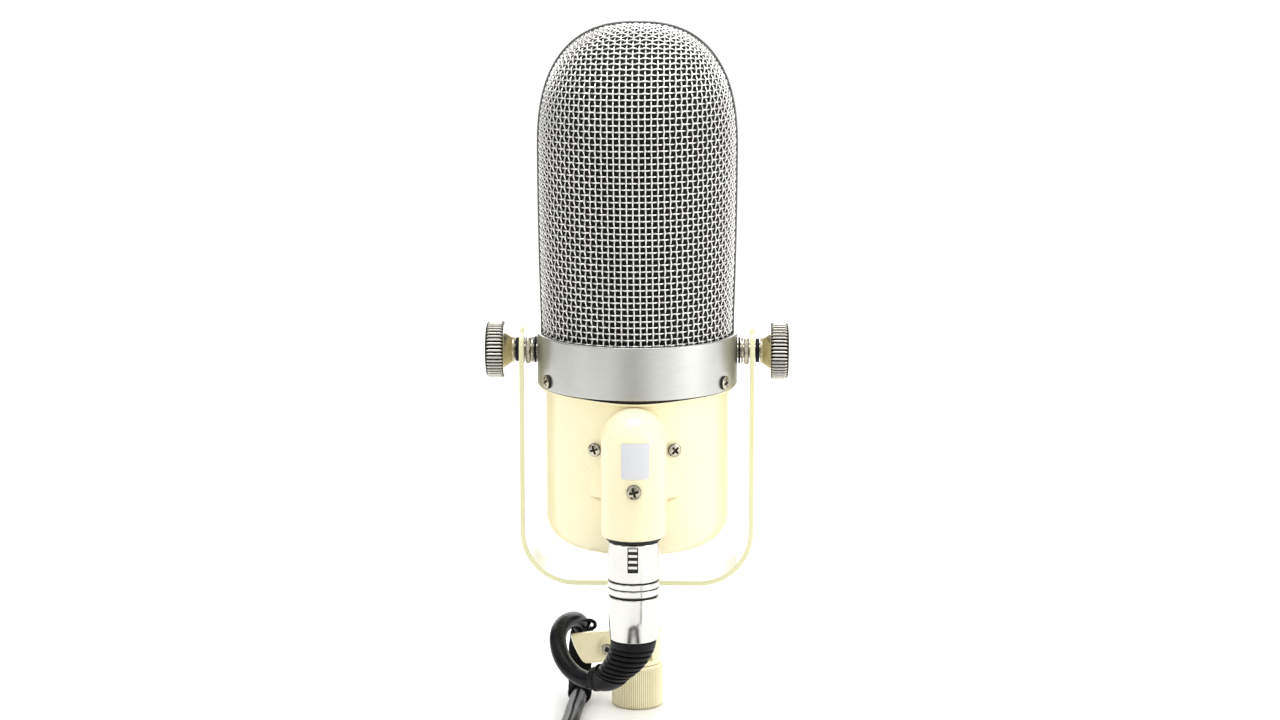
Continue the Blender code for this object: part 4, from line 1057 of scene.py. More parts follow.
def makeScrew(name, node, radius, at, out, spin):
    rings, steps = screws["rings"], screws["steps"]
    place = facing(at, out) @ Matrix.Rotation(spin, 4, "Z")
    rise = screws["headRise"]

    def height(x, y):
        # dome less the cross
        dome = rise * (1 - 0.42 * math.hypot(x, y) ** 3.2)
        dip = inCross(x, y)
        slope = 1.0 - 0.45 * min(1.0, max(abs(x), abs(y)) / screws["crossLong"])
        return dome - dip * dip * (3 - 2 * dip) * rise * screws["crossDeep"] * slope * 1.5

    vertices = [(0.0, 0.0, height(0.0, 0.0))]
    for i in range(1, rings + 1):
        r = 0.985 * i / rings
        for k in range(steps):
            turn = 2 * math.pi * k / steps
            x, y = r * math.cos(turn), r * math.sin(turn)
            vertices.append((radius * x, radius * y, height(x, y)))
    for drop, wide in ((0.30, 1.0), (0.05, 1.0), (-0.04, 0.96)):
        for k in range(steps):
            turn = 2 * math.pi * k / steps
            vertices.append((radius * wide * math.cos(turn), radius * wide * math.sin(turn),
                             rise * drop))
    faces = [(0, 1 + k, 1 + (k + 1) % steps) for k in range(steps)]
    for i in range(rings + 2):
        a, b = 1 + i * steps, 1 + (i + 1) * steps
        for k in range(steps):
            j = (k + 1) % steps
            faces.append((a + k, b + k, b + j, a + j))
    last = 1 + (rings + 2) * steps
    faces.append(tuple(range(last, last + steps))[::-1])
    piece = addPiece(name, [place @ Vector(v) for v in vertices], faces, "fastener", 38)

    def dark(face):
        # painted shade in the cross and on the head's edge
        spots = [Vector(vertices[i]) for i in face.vertices]
        middle = sum(spots, Vector()) / len(spots)
        inside = inCross(middle.x / radius, middle.y / radius) > 0.45
        return inside and middle.z > rise * 0.1 or middle.to_2d().length > radius * 0.93

    paintWhere(piece, "recess", dark)
    settle(piece, "head", "nickel", node)


def makeHeadScrews():
    for name, node, spin in (("bandScrew1", "band_screw_rear_left", 0.5),
                             ("bandScrew2", "band_screw_rear_right", 0.2),
                             ("bandScrew3", "band_screw_front_left", 0.9),
                             ("bandScrew4", "band_screw_front_right", 0.0),
                             ("housingScrew1", "housing_screw_left", 0.35),
                             ("housingScrew2", "housing_screw_right", 0.75)):
        onBand = name.startswith("band")
        radius, lift = screws["band"] if onBand else screws["side"]
        low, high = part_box(node)
        middle = (low + high) / 2
        out = Vector((middle.x, middle.y, 0)).normalized()
        reach = (bandHigh.x if onBand else cup["radius"]) + lift
        makeScrew(name, node, radius, out * reach + Vector((0, 0, middle.z)), out, spin)
    low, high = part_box("housing_screw_lower")
    radius, lift = screws["lower"]
    at = (0.5 * mm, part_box("xlr_housing")[0].y - lift, (low.z + high.z) / 2)
    makeScrew("housingScrew3", "housing_screw_lower", radius, at, (0, -1, 0), 0.25)


# Socket housing

pod = {"radius": 12.1 * mm, "neck": 11.85 * mm, "drop": 1.3 * mm, "edge": 1.3 * mm,
       "lower": 0.7 * mm, "saddleThick": 2.8 * mm, "saddleLow": 90.5 * mm, "saddleHigh": 119 * mm,
       "mouth": 10.4 * mm, "mouthDeep": 1.1 * mm, "neckEnd": -30 * mm, "grain": 0.42 * mm,
       "gasketIn": 8.2 * mm, "gasketOut": 10.2 * mm, "gasketDrop": 1.5 * mm}


def makeHousing():
    low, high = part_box("xlr_housing")
    y = low.y + pod["radius"]
    domeZ = high.z - pod["lower"] - pod["radius"]
    dome = [(pod["radius"] * math.sin(t), domeZ + pod["radius"] * math.cos(t))
            for t in [math.pi / 2 * i / 20 for i in range(21)]]
    profile = [(0.0, low.z), (pod["radius"] - 2 * mm, low.z)] + eased(
        [(pod["radius"] - 1.9 * mm, low.z), (pod["radius"], low.z, pod["edge"]),
         (pod["radius"], domeZ - 1 * mm)], pod["edge"], 6)[1:] + dome[::-1]
    profile[-1] = (0.0, domeZ + pod["radius"])
    body = turned("xlrHousing", profile, None, 128, (0, y, 0))
    neckZ = domeZ - pod["drop"]
    n = pod["neck"]
    arch = [(n * math.cos(t), neckZ + n * math.sin(t)) for t in
            [math.pi * i / 28 for i in range(29)]]
    outline = [(-n, low.z + 0.8 * mm), (n, low.z + 0.8 * mm)] + arch
    neck = slab("neck", [(x, end, z) for end in (y, pod["neckEnd"]) for x, z in outline])
    # the saddle is thick beside the pod and runs out to nothing at its sides
    half = high.x
    rows = []
    steps = 40
    for i in range(steps + 1):
        x = -half + 2 * half * i / steps
        thick = pod["saddleThick"] * (1 - (abs(x) / half) ** 2.2) ** 0.8
        rows.append((math.asin(x / (cup["radius"] + 0.15 * mm)), thick))
    spots = []
    for z, full in ((pod["saddleLow"], 1), (pod["saddleHigh"], 0)):
        for turn, thick in rows:
            for r in (cup["radius"] - 2.0 * mm, cup["radius"] - 0.1 * mm + thick * full):
                spots.append((r * math.sin(turn), -r * math.cos(turn), z))
    width = 2 * (steps + 1)
    faces = []
    for i in range(steps):
        a, b = 2 * i, 2 * i + 2
        faces += [(a, a + 1, b + 1, b), (a + width, b + width, b + 1 + width, a + 1 + width),
                  (a, b, b + width, a + width), (a + 1, a + 1 + width, b + 1 + width, b + 1)]
    faces += [(0, width, width + 1, 1), (width - 2, width - 1, 2 * width - 1, 2 * width - 2)]
    saddle = addPiece("saddle", spots, faces, None)
    fixNormals(saddle)
    cast(body, [neck, saddle], pod["grain"], 5)
    onCup, onLip, step = cup["radius"] + 0.06 * mm, cup["lip"] + 0.3 * mm, bandLow.z - 2 * mm
    clear = turned("cupRoom", [(0, low.z - 10 * mm), (onCup, low.z - 10 * mm), (onCup, step),
                               (onLip, step), (onLip, high.z + 40 * mm),
                               (0, high.z + 40 * mm)], None, 224)
    mouth = turned("mouth", [(0, low.z - 3 * mm), (pod["mouth"], low.z - 3 * mm),
                             (pod["mouth"], low.z + pod["mouthDeep"]),
                             (0, low.z + pod["mouthDeep"])], None, 96, (0, y, 0))
    carved(body, [clear, mouth])
    paint(body, "enamel", 45)
    settle(body, "head", "enamel", "xlr_housing")

    gasket = washer("socketGasket", pod["gasketIn"], pod["gasketOut"],
                    low.z - pod["gasketDrop"], low.z + pod["mouthDeep"] - 0.1 * mm, "plastic",
                    (0, y, 0), (0, 0, 1), 96, 0.3 * mm)
    settle(gasket, "head", "rubber", "socket_gasket")


label = {"lift": 0.10 * mm, "thick": 0.12 * mm, "corner": 0.5 * mm, "aside": 1.0 * mm,
         "lower": 103.3 * mm, "tall": 13.4 * mm}


def makeLabel():
    # blank adhesive label wrapped on the pod
    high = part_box("rear_label")[1]
    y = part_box("xlr_housing")[0].y + pod["radius"]
    half, tall = high.x, label["tall"]
    across = [i / 20 for i in range(-20, 21)]
    up = [i / 24 for i in range(25)]
    spots, faces = [], []
    for layer in (0, 1):
        r = pod["radius"] + label["lift"] + layer * label["thick"]
        for v in up:
            edge = min(v, 1 - v) * tall
            inset = 0.0
            if edge < label["corner"]:
                inset = label["corner"] - math.sqrt(label["corner"] ** 2
                                                    - (label["corner"] - edge) ** 2)
            for u in across:
                turn = (u * (half - inset) + label["aside"]) / pod["radius"]
                spots.append((r * math.sin(turn), y - r * math.cos(turn),
                              label["lower"] + v * tall))
    wide, rows = len(across), len(up)
    size = wide * rows
    for j in range(rows - 1):
        for i in range(wide - 1):
            a = j * wide + i
            faces.append((a, a + wide, a + wide + 1, a + 1))
            faces.append((size + a, size + a + 1, size + a + wide + 1, size + a + wide))
    rim = list(range(wide)) + [j * wide + wide - 1 for j in range(1, rows)]
    rim += [(rows - 1) * wide + i for i in range(wide - 2, -1, -1)]
    rim += [j * wide for j in range(rows - 2, 0, -1)]
    for a, b in zip(rim, rim[1:] + rim[:1]):
        faces.append((a, b, size + b, size + a))
    piece = addPiece("rearLabel", spots, faces, "paper")
    fixNormals(piece)
    settle(piece, "head", "paper", "rear_label")


makeBand()
makeCup()
makeHousing()
makeLabel()
makeHeadScrews()
print("head made")


# Yoke and pivots

yoke = {"edge": 0.45 * mm, "corner": 21 * mm, "strip": 1.9 * mm}


def makeYoke():
    low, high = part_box("yoke")
    reach = high.y
    half = high.x
    strip = yoke["strip"]
    bend = yoke["corner"] - strip / 2
    middle = half - strip / 2
    armEnd = pivotHeight + reach
    # the strip's middle line, from the left end to the right end
    line = []
    straight = armEnd - (low.z + yoke["corner"])
    stops = [reach * (1 - math.cos(math.pi / 2 * i / 14)) for i in range(14)]
    stops += [reach + (straight - reach) * i / 10 for i in range(11)]
    for s in stops:
        line.append((-middle, armEnd - s, (-1, 0), s))
    for i in range(1, 25):
        turn = math.pi + math.pi / 2 * i / 24
        line.append((-half + yoke["corner"] + bend * math.cos(turn),
                     low.z + yoke["corner"] + bend * math.sin(turn),
                     (math.cos(turn), math.sin(turn)), straight + i))
    line += [(-x, z, (-n[0], n[1]), s) for x, z, n, s in line[::-1]]
    section = easedRing([(-1, -strip / 2), (1, -strip / 2), (1, strip / 2), (-1, strip / 2)],
                        yoke["edge"], 3)
    vertices = []
    for x, z, (nx, nz), s in line:
        wide = reach if s >= reach else math.sqrt(max(0.0, reach ** 2 - (reach - s) ** 2))
        wide = max(wide, 0.25 * mm)
        for u, v in section:
            # corners keep their size while the strip narrows at its ends
            y = u * wide
            if abs(u) > 0.5:
                y = math.copysign(max(0.0, wide - (1 - abs(u))), u)
            vertices.append((x + nx * v, y, z + nz * v))
    piece = addPiece("yokeStrip", vertices, sweptFaces(len(line), len(section)), "yoke")
    fixNormals(piece)
    settle(piece, "yoke", "enamel", "yoke")


knob = {"ridges": 48, "groove": 0.75 * mm, "headThick": 6.9 * mm, "radius": 11 * mm,
        "hubWide": 7.2 * mm, "hubThin": 5.0 * mm, "hub": 3.2 * mm}
pivot = {"bore": 3.2 * mm, "nutFlat": 5.0 * mm, "thread": 2.9 * mm, "foot": 4.6 * mm,
         "footThick": 2 * mm}
# piece, node, finish, slot, body, outer radius and edge in millimetres
pivotWashers = [("rubberWasher", "rubber_washer", "rubber", "rubber", "head", 5.1, 0.25),
                ("steelWasher", "steel_washer", "fastener", "nickel", "head", 5.2, 0.18),
                ("yokeWasher", "yoke_washer", "rubber", "rubber", "yoke", 4.6, 0.3)]


def reachOf(node):
    # how near and how far a node is from the middle, across
    low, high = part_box(node)
    return sorted((abs(low.x), abs(high.x)))


def makePivots():
    for label, side in (("left", -1), ("right", 1)):
        title = label.title()
        axis = (side, 0, 0)
        at = (0, 0, pivotHeight)
        for name, node, finish, slot, body, outer, edge in pivotWashers:
            near, far = reachOf(f"{node}_{label}")
            piece = washer(name + title, pivot["bore"], outer * mm, near, far, finish, at, axis,
                           72, edge * mm)
            settle(piece, body, slot, f"{node}_{label}")
        makeNut("hexNut" + title, f"hex_nut_{label}", reachOf(f"hex_nut_{label}"),
                pivot["nutFlat"], at, axis, "head")
        near, far = reachOf(f"pivot_stud_{label}")
        foot, thread, step = pivot["foot"], pivot["thread"], near + pivot["footThick"]
        stud = turned("pivotStud" + title, eased([
            (0, near), (foot, near, 0.3 * mm), (foot, step, 0.3 * mm), (thread, step),
            (thread, far, 0.5 * mm), (0, far)], 0.2 * mm), "fastener", 64, at, axis)
        settle(stud, "head", "nickel", f"pivot_stud_{label}")
        makeKnob("knob" + title, f"knob_{label}", reachOf(f"knob_{label}"), at, axis)


def makeNut(name, node, reach, flat, at, axis, body):
    # six flats, with the corners chamfered by a cone at both ends
    near, far = reach
    corner = flat / math.cos(math.pi / 6)
    prism = turned(name, [(0, near), (corner, near), (corner, far), (0, far)], None, 6, at, axis)
    cone = turned("cone", [(0, near), (flat * 0.97, near), (corner, near + 0.45 * mm),
                           (corner, far - 0.45 * mm), (flat * 0.97, far), (0, far)], None, 96,
                  at, axis)
    carved(prism, [cone], "INTERSECT")
    bore = turned("bore", [(0, near - mm), (2.95 * mm, near - mm), (2.95 * mm, far + mm),
                           (0, far + mm)], None, 48, at, axis)
    carved(prism, [bore])
    softEdges(prism, 0.12 * mm)
    paint(prism, "fastener", 30)
    settle(prism, body, "nickel", node)


def makeKnob(name, node, reach, at, axis):
    near, far = reach
    head = far - knob["headThick"]
    r = knob["radius"]
    rim = eased([(knob["hubWide"] + 0.6 * mm, head + 0.25 * mm), (r - 0.5 * mm, head, 0.3 * mm),
                 (r, head + 0.9 * mm, 0.5 * mm), (r, far - 1.1 * mm, 0.7 * mm),
                 (r - 1.2 * mm, far - 0.1 * mm, 0.4 * mm), (r - 2.2 * mm, far),
                 (r - 3.0 * mm, far - 0.35 * mm, 0.3 * mm), (0, far - 0.35 * mm)],
                0.3 * mm, 4)
    hub = eased([(pivot["bore"], near + 1.0 * mm), (pivot["bore"], near, 0.1 * mm),
                 (knob["hubThin"], near, 0.25 * mm),
                 (knob["hubThin"], head - knob["hub"], 0.5 * mm),
                 (knob["hubThin"] + 0.7 * mm, head - 2.2 * mm, 0.6 * mm),
                 (knob["hubWide"], head - 0.2 * mm, 0.3 * mm),
                 (knob["hubWide"] + 0.5 * mm, head + 0.25 * mm)], 0.3 * mm, 4)
    profile = [(0.0, near + 1.0 * mm)] + hub + rim

    def groove(k, turn):
        # full depth on the rim, fading out over its corners
        full = min(1.0, max(0.0, (profile[k][0] - (r - 1.0 * mm)) / (0.8 * mm)))
        wave = 0.5 - 0.5 * math.cos(turn * knob["ridges"])
        return knob["groove"] * full * wave ** 1.6

    piece = turned(name, profile, "knob", knob["ridges"] * 8, at, axis, ridges=groove, angle=60)
    settle(piece, node, "nickel", node)


makeYoke()
makePivots()
print("yoke and pivots made")


# Swivel, clamp and stand ring

swivel = {"radius": 9.4 * mm, "spigot": 5.6 * mm, "slot": 3.2 * mm, "slotDeep": 5.2 * mm,
          "flat": 8.3 * mm, "flatDeep": 4.3 * mm, "bore": 2.25 * mm, "edge": 1.3 * mm,
          "seam": 20.5 * mm, "pocket": 6.4 * mm, "pocketWide": 4.1 * mm}


def makeSwivel():
    low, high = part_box("swivel_fork")
    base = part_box("stand_ring")[1].z + 0.3 * mm
    r, seam, spigot = swivel["radius"], swivel["seam"], swivel["spigot"]
    body = eased([(spigot, base), (r, base, 0.25 * mm), (r, seam - 0.25 * mm, 0.1 * mm),
                  (r - 0.4 * mm, seam, 0.1 * mm), (r, seam + 0.25 * mm, 0.1 * mm),
                  (r, high.z, swivel["edge"]), (0, high.z)], 0.2 * mm, 5)
    fork = turned("swivelFork", [(0, low.z), (spigot, low.z)] + body, None, 128)
    slot = brick("slot", (-swivel["slot"], -20 * mm, clampHeight - swivel["slotDeep"]),
                 (swivel["slot"], 20 * mm, 40 * mm), clampTurn)
    flat = brick("flat", (-20 * mm, -12 * mm, clampHeight - swivel["flatDeep"]),
                 (-swivel["flat"], 12 * mm, 40 * mm), clampTurn)
    near, wide, bore = swivel["pocket"], swivel["pocketWide"], swivel["bore"]
    pocket = turned("pocket", [(0, near), (wide, near), (wide, 20 * mm), (0, 20 * mm)],
                    None, 48, clampMiddle, clampAxis)
    clampBore = turned("clampBore", [(0, -30 * mm), (bore, -30 * mm), (bore, 30 * mm),
                                     (0, 30 * mm)], None, 40, clampMiddle, clampAxis)
    carved(fork, [slot, flat, pocket, clampBore])
    softEdges(fork, 0.25 * mm)
    paint(fork, "enamel", 40)
    paintWhere(fork, "ring", lambda face: abs(face.center.z - seam) < 0.3 * mm)
    settle(fork, "root", "enamel", "swivel_fork")


knuckle = {"tongue": 4.8 * mm, "half": 2.9 * mm, "shoulder": 37.6 * mm, "neck": 6.3 * mm,
           "flange": 7.5 * mm, "grain": 0.32 * mm}


def makeKnuckle():
    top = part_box("yoke_knuckle")[1].z
    half, reach = knuckle["half"], knuckle["tongue"]
    outline = []
    for i in range(25):
        turn = math.pi + math.pi * i / 24
        outline.append((reach * math.cos(turn), clampHeight + reach * math.sin(turn)))
    outline += [(reach, knuckle["shoulder"] + 1.5 * mm), (-reach, knuckle["shoulder"] + 1.5 * mm)]
    tongue = slab("yokeKnuckle", [clampTurn @ Vector((x, y, z)) for x in (-half, half)
                                  for y, z in outline])
    post = turned("post", [(0, knuckle["shoulder"])] + eased([
        (0.1 * mm, knuckle["shoulder"]), (5.0 * mm, knuckle["shoulder"], 0.8 * mm),
        (knuckle["neck"], knuckle["shoulder"] + 2 * mm, 0.8 * mm),
        (knuckle["neck"], top - 3.7 * mm, 0.6 * mm),
        (knuckle["flange"], top - 2.6 * mm, 0.4 * mm), (knuckle["flange"], top, 0.3 * mm),
        (0, top)], 0.3 * mm), None, 96)
    cast(tongue, [post], knuckle["grain"], 4)
    tongue.data.shade_smooth()
    paint(tongue, "enamel")
    settle(tongue, "yoke", "enamel", "yoke_knuckle")


lever = {"root": 11.4 * mm, "tip": 27.0 * mm, "half": 6.2 * mm, "thick": 3.3 * mm,
         "grain": 0.33 * mm, "screw": 1.95 * mm, "screwEnds": (-8.2 * mm, 13.2 * mm),
         "nut": (6.5 * mm, 8.3 * mm), "nutFlat": 3.4 * mm, "rivet": 2.3 * mm,
         "rivetAt": (-13.7 * mm, -3.9 * mm, -0.2 * mm)}


def makeLever():
    # cast wing with a boss at its root, on the clamp screw
    half = lever["half"]
    outline = [(-lever["root"], half * 0.98), (-19 * mm, half), (-lever["tip"], half * 0.95)]
    for i in range(1, 12):
        t = i / 12
        outline.append((-lever["tip"] + 5.0 * mm * t ** 1.5, half * 0.95 - 1.95 * half * t))
    outline += [(-lever["tip"] + 5.6 * mm, -half), (-lever["root"] - 3 * mm, -half),
                (-lever["root"], -half * 0.7)]
    spots = []
    for side in (-1, 1):
        for x, z in outline:
            # the wing thins towards its tip
            thin = 1.0 - 0.35 * min(1.0, max(0.0, (-x - lever["root"]) / (15 * mm)))
            y = side * lever["thick"] / 2 * thin
            spots.append(clampTurn @ Vector((x, y, clampHeight + z)))
    wing = slab("clampLever", spots)
    boss = turned("boss", [(0, 9.9 * mm)] + eased([
        (0.1 * mm, 9.9 * mm), (3.0 * mm, 9.9 * mm, 0.3 * mm), (4.3 * mm, 13.2 * mm, 0.8 * mm),
        (3.6 * mm, 15.6 * mm, 0.8 * mm), (0, 16.0 * mm)], 0.3 * mm), None, 64,
        clampMiddle, -clampAxis)
    cast(wing, [boss], lever["grain"], 5)
    bore = turned("screwRoom", [(0, 5 * mm), (2.2 * mm, 5 * mm), (2.2 * mm, 13.6 * mm),
                                (0, 13.6 * mm)], None, 40, clampMiddle, -clampAxis)
    carved(wing, [bore])
    paint(wing, "casting", 50)
    settle(wing, "clamp", "enamel", "clamp_lever")

    r, (near, far) = lever["screw"], lever["screwEnds"]
    screw = turned("clampScrew", eased([(0, near), (r, near, 0.4 * mm), (r, far, 0.3 * mm),
                                        (0, far)], 0.2 * mm), "fastener", 48, clampMiddle,
                   -clampAxis)
    settle(screw, "clamp", "nickel", "clamp_screw")
    ring = washer("clampWasher", 2.25 * mm, 3.5 * mm, 8.6 * mm, 9.5 * mm, "fastener",
                  clampMiddle, -clampAxis, 64)
    settle(ring, "root", "nickel", "clamp_washer")
    makeNut("clampNut", "clamp_nut", lever["nut"], lever["nutFlat"], clampMiddle, clampAxis,
            "root")
    # a hollow rivet in the wing beside its boss
    at = clampTurn @ (Vector(lever["rivetAt"]) + Vector(clampMiddle))
    out = clampTurn @ Vector((-0.45, -1, 0))
    rivet = washer("clampRivet", 1.0 * mm, lever["rivet"], 0, 0.8 * mm, "fastener", at, out, 48,
                   0.3 * mm)
    settle(rivet, "clamp", "nickel")
    # painted shade: a near-black disc in the rivet's hollow
    core = turned("clampRivetCore", [(0, -0.2 * mm), (1.3 * mm, -0.2 * mm),
                                     (1.2 * mm, 0.35 * mm), (0, 0.3 * mm)], "recess", 32, at, out)
    settle(core, "clamp", "nickel")


standRing = {"ridges": 80, "groove": 0.34 * mm, "bore": 7.9 * mm, "boreTop": 10 * mm,
             "neck": 5.9 * mm}


def makeStandRing():
    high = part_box("stand_ring")[1]
    r, bore, boreTop = high.x, standRing["bore"], standRing["boreTop"]
    profile = easedRing([
        (bore, 0, 0.3 * mm), (r - 0.4 * mm, 0, 0.15 * mm), (r, 0.5 * mm, 0.2 * mm),
        (r, high.z - 0.9 * mm, 0.3 * mm), (r - 0.8 * mm, high.z, 0.2 * mm),
        (standRing["neck"], high.z, 0.2 * mm), (standRing["neck"], boreTop, 0.1 * mm),
        (bore, boreTop, 0.1 * mm)], 0.2 * mm, 3)

    def groove(k, turn):
        full = min(1.0, max(0.0, (profile[k][0] - (r - 0.45 * mm)) / (0.4 * mm)))
        wave = 0.5 - 0.5 * math.cos(turn * standRing["ridges"])
        return standRing["groove"] * full * wave ** 1.3

    piece = turned("standRing", profile, "ring", standRing["ridges"] * 8, closed=True,
                   ridges=groove, angle=60)
    settle(piece, "ring", "enamel", "stand_ring")
    low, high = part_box("spigot_cap")
    disc = turned("spigotCap", eased([(0, low.z), (high.x, low.z, 0.2 * mm),
                                      (high.x, high.z, 0.2 * mm), (0, high.z)],
                                     0.2 * mm), "fastener", 72)
    settle(disc, "root", "nickel", "spigot_cap")


def makeYokeBolt():
    low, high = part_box("yoke_lock_washer")
    ring = washer("yokeLockWasher", 3.1 * mm, high.x, low.z, high.z, "fastener", (0, 0, 0),
                  (0, 0, 1), 64)
    gap = brick("split", (0, -0.4 * mm, low.z - mm), (8 * mm, 0.4 * mm, high.z + mm),
                Matrix.Rotation(0.8, 4, "Z"))
    carved(ring, [gap])
    paint(ring, "fastener", 40)
    settle(ring, "yoke", "nickel", "yoke_lock_washer")
    low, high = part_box("yoke_bolt")
    r = high.x
    seat = high.z - 2.6 * mm
    bolt = turned("yokeBolt", [(0, low.z)] + eased([
        (0.1 * mm, low.z), (2.5 * mm, low.z, 0.3 * mm), (2.5 * mm, seat), (r, seat, 0.2 * mm),
        (r, seat + 1.0 * mm, 0.8 * mm), (r * 0.6, high.z - 0.1 * mm, 0.8 * mm), (0, high.z)],
        0.2 * mm, 6), "fastener", 72)
    carved(bolt, [brick("slot", (-6 * mm, -0.5 * mm, seat + 1.5 * mm),
                        (6 * mm, 0.5 * mm, seat + 5 * mm))])
    paint(bolt, "fastener", 40)
    settle(bolt, "yoke", "nickel", "yoke_bolt")


makeSwivel()
makeKnuckle()
makeLever()
makeStandRing()
makeYokeBolt()
print("swivel made")


# Cable connectors

plug = {"radius": 9.5 * mm, "ring": 9.7 * mm, "nose": 7.95 * mm, "bore": 6.9 * mm,
        "rear": 9.0 * mm, "windowHalf": 1.95 * mm, "windowRoom": 0.35 * mm, "well": 6.6 * mm}


def makePlug():
    low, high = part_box("plug_shell")
    at = (0, (low.y + high.y) / 2, 0)
    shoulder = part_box("socket_gasket")[0].z - 0.3 * mm
    r = plug["radius"]
    shell = turned("plugShell", easedRing([
        (plug["bore"], low.z), (r, low.z, 0.2 * mm), (r, shoulder, 0.45 * mm),
        (plug["nose"], shoulder, 0.1 * mm), (plug["nose"], high.z, 0.3 * mm),
        (plug["bore"], high.z, 0.2 * mm)], 0.2 * mm, 4), None, 160, at, closed=True)
    buttonLow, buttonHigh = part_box("latch_button")
    w = plug["windowHalf"]
    room = plug["windowRoom"]
    carved(shell, [brick("window", (-w, at[1] - 15 * mm, buttonLow.z - room),
                         (w, at[1] - 5 * mm, buttonHigh.z + room))])
    paint(shell, "nickel", 35)
    settle(shell, "head", "nickel", "plug_shell")
    foot, top, wide = buttonLow.z - 1.2 * mm, buttonHigh.z + 1.0 * mm, plug["well"]
    well = turned("latchWell", [(0, foot), (wide, foot), (wide, top), (0, top)], "plastic", 96, at)
    settle(well, "head", "plastic")

    low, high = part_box("plug_housing")
    top, rear = high.z, low.z
    # the two rings between the grooves, and the grooves' floors
    ring, groove, floor = plug["ring"], r - 0.75 * mm, r - 0.4 * mm
    profile = [(0, rear)] + eased([
        (0.1 * mm, rear), (plug["rear"], rear, 0.25 * mm),
        (plug["rear"] + 0.35 * mm, rear + 7 * mm, 1 * mm),
        (r - 0.1 * mm, rear + 16.4 * mm, 0.2 * mm),
        (groove, rear + 16.8 * mm, 0.1 * mm), (groove, rear + 17.3 * mm, 0.1 * mm),
        (ring, rear + 17.5 * mm, 0.25 * mm), (ring, top - 2.9 * mm, 0.25 * mm),
        (floor, top - 2.72 * mm, 0.1 * mm), (floor, top - 2.58 * mm, 0.1 * mm),
        (ring, top - 2.4 * mm, 0.25 * mm), (ring, top - 0.35 * mm, 0.25 * mm),
        (floor, top - 0.15 * mm, 0.1 * mm), (floor, top, 0.05 * mm), (0, top)], 0.2 * mm, 4)
    housing = turned("plugHousing", profile, "nickel", 160, at)

    def inGroove(face):
        x, y, z = face.center
        return z > rear + 16.5 * mm and math.hypot(x, y - at[1]) < r - 0.15 * mm

    # painted shade: the grooves between the rings are near-black
    paintWhere(housing, "recess", inGroove)
    settle(housing, "head", "nickel", "plug_housing")


button = {"grooves": 4, "grooveDeep": 0.55 * mm}


def makeButton():
    # metal latch with level grooves
    low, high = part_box("latch_button")
    half = high.x
    back = high.y - 0.2 * mm
    tall = high.z - low.z
    section = []
    count = button["grooves"]
    for i in range(count):
        z0 = low.z + tall * (i + 0.04) / count
        z1 = low.z + tall * (i + 0.50) / count
        front, deep = low.y, low.y + button["grooveDeep"]
        if i == 0:
            section.append((front + 0.1 * mm, low.z))
        section += [(deep, z0), (deep, z1), (front, z1 + 0.1 * mm),
                    (front, low.z + tall * (i + 1) / count)]
    section = [(y, min(z, high.z)) for y, z in section]
    outline = section + [(back, high.z), (back, low.z)]
    piece = slab("latchButton", [(x, y, z) for x in (-half, half) for y, z in outline],
                 "nickel", 20)
    # painted shade: the grooves' floors are near-black
    paintWhere(piece, "recess", lambda face: abs(face.normal.y) > 0.7
               and face.center.y > low.y + 0.4 * mm)
    softEdges(piece, 0.1 * mm)
    settle(piece, "latch", "nickel", "latch_button")


boot = {"route": [(0.0, -46.0, 39.9), (-0.3, -46.0, 37.2), (-1.2, -46.0, 34.4),
                  (-2.8, -45.8, 31.2), (-5.2, -45.2, 28.0), (-8.3, -44.0, 25.2),
                  (-11.8, -42.4, 23.2), (-15.0, -40.6, 22.2)],
        "collar": 3.2 * mm, "ribs": 7, "ribsEnd": 18.2 * mm, "wide": 8.6 * mm,
        "waist": 6.7 * mm, "tip": 4.45 * mm, "deep": 1.3 * mm, "lean": 0.2, "lip": 1.8 * mm}


def makeBoot():
    route = smoothRoute(metres(boot["route"]), 0.22 * mm)
    total = lengthOf(route)
    pitch = (boot["ribsEnd"] - boot["collar"]) / boot["ribs"]
    radii = []
    for i in range(len(route)):
        s = total * i / (len(route) - 1)
        if s < boot["ribsEnd"]:
            t = s / boot["ribsEnd"]
            r = boot["wide"] + (boot["waist"] - boot["wide"]) * t ** 1.2
        else:
            t = (s - boot["ribsEnd"]) / (total - boot["ribsEnd"])
            r = boot["waist"] + (boot["tip"] - boot["waist"]) * min(1.0, t * 1.35) ** 0.8
        if boot["collar"] < s < boot["ribsEnd"]:
            wave = 0.5 - 0.5 * math.cos(2 * math.pi * (s - boot["collar"]) / pitch)
            r -= boot["deep"] * (1 - wave) ** 4
        edge = min(s, total - s)
        if edge < 0.5 * mm:
            r -= 0.35 * mm * (1 - edge / (0.5 * mm)) ** 2
        if total - s < boot["lip"]:
            r += 0.25 * mm
        radii.append(r)
    # the ribs stay nearer level than the bend, as a squeezed rubber boot's do
    planes = []
    for i, along in enumerate(directions(route)):
        s = total * i / (len(route) - 1)
        t = min(1.0, max(0.0, (s - boot["ribsEnd"] + 1.5 * mm) / (5.5 * mm)))
        bend = boot["lean"] + (1 - boot["lean"]) * t * t * (3 - 2 * t)
        planes.append((Vector((0, 0, -1)) * (1 - bend) + along * bend).normalized())
    piece = tube("plugBoot", route, radii, "rubber", 64, planes=planes)
    settle(piece, "head", "rubber", "plug_boot")


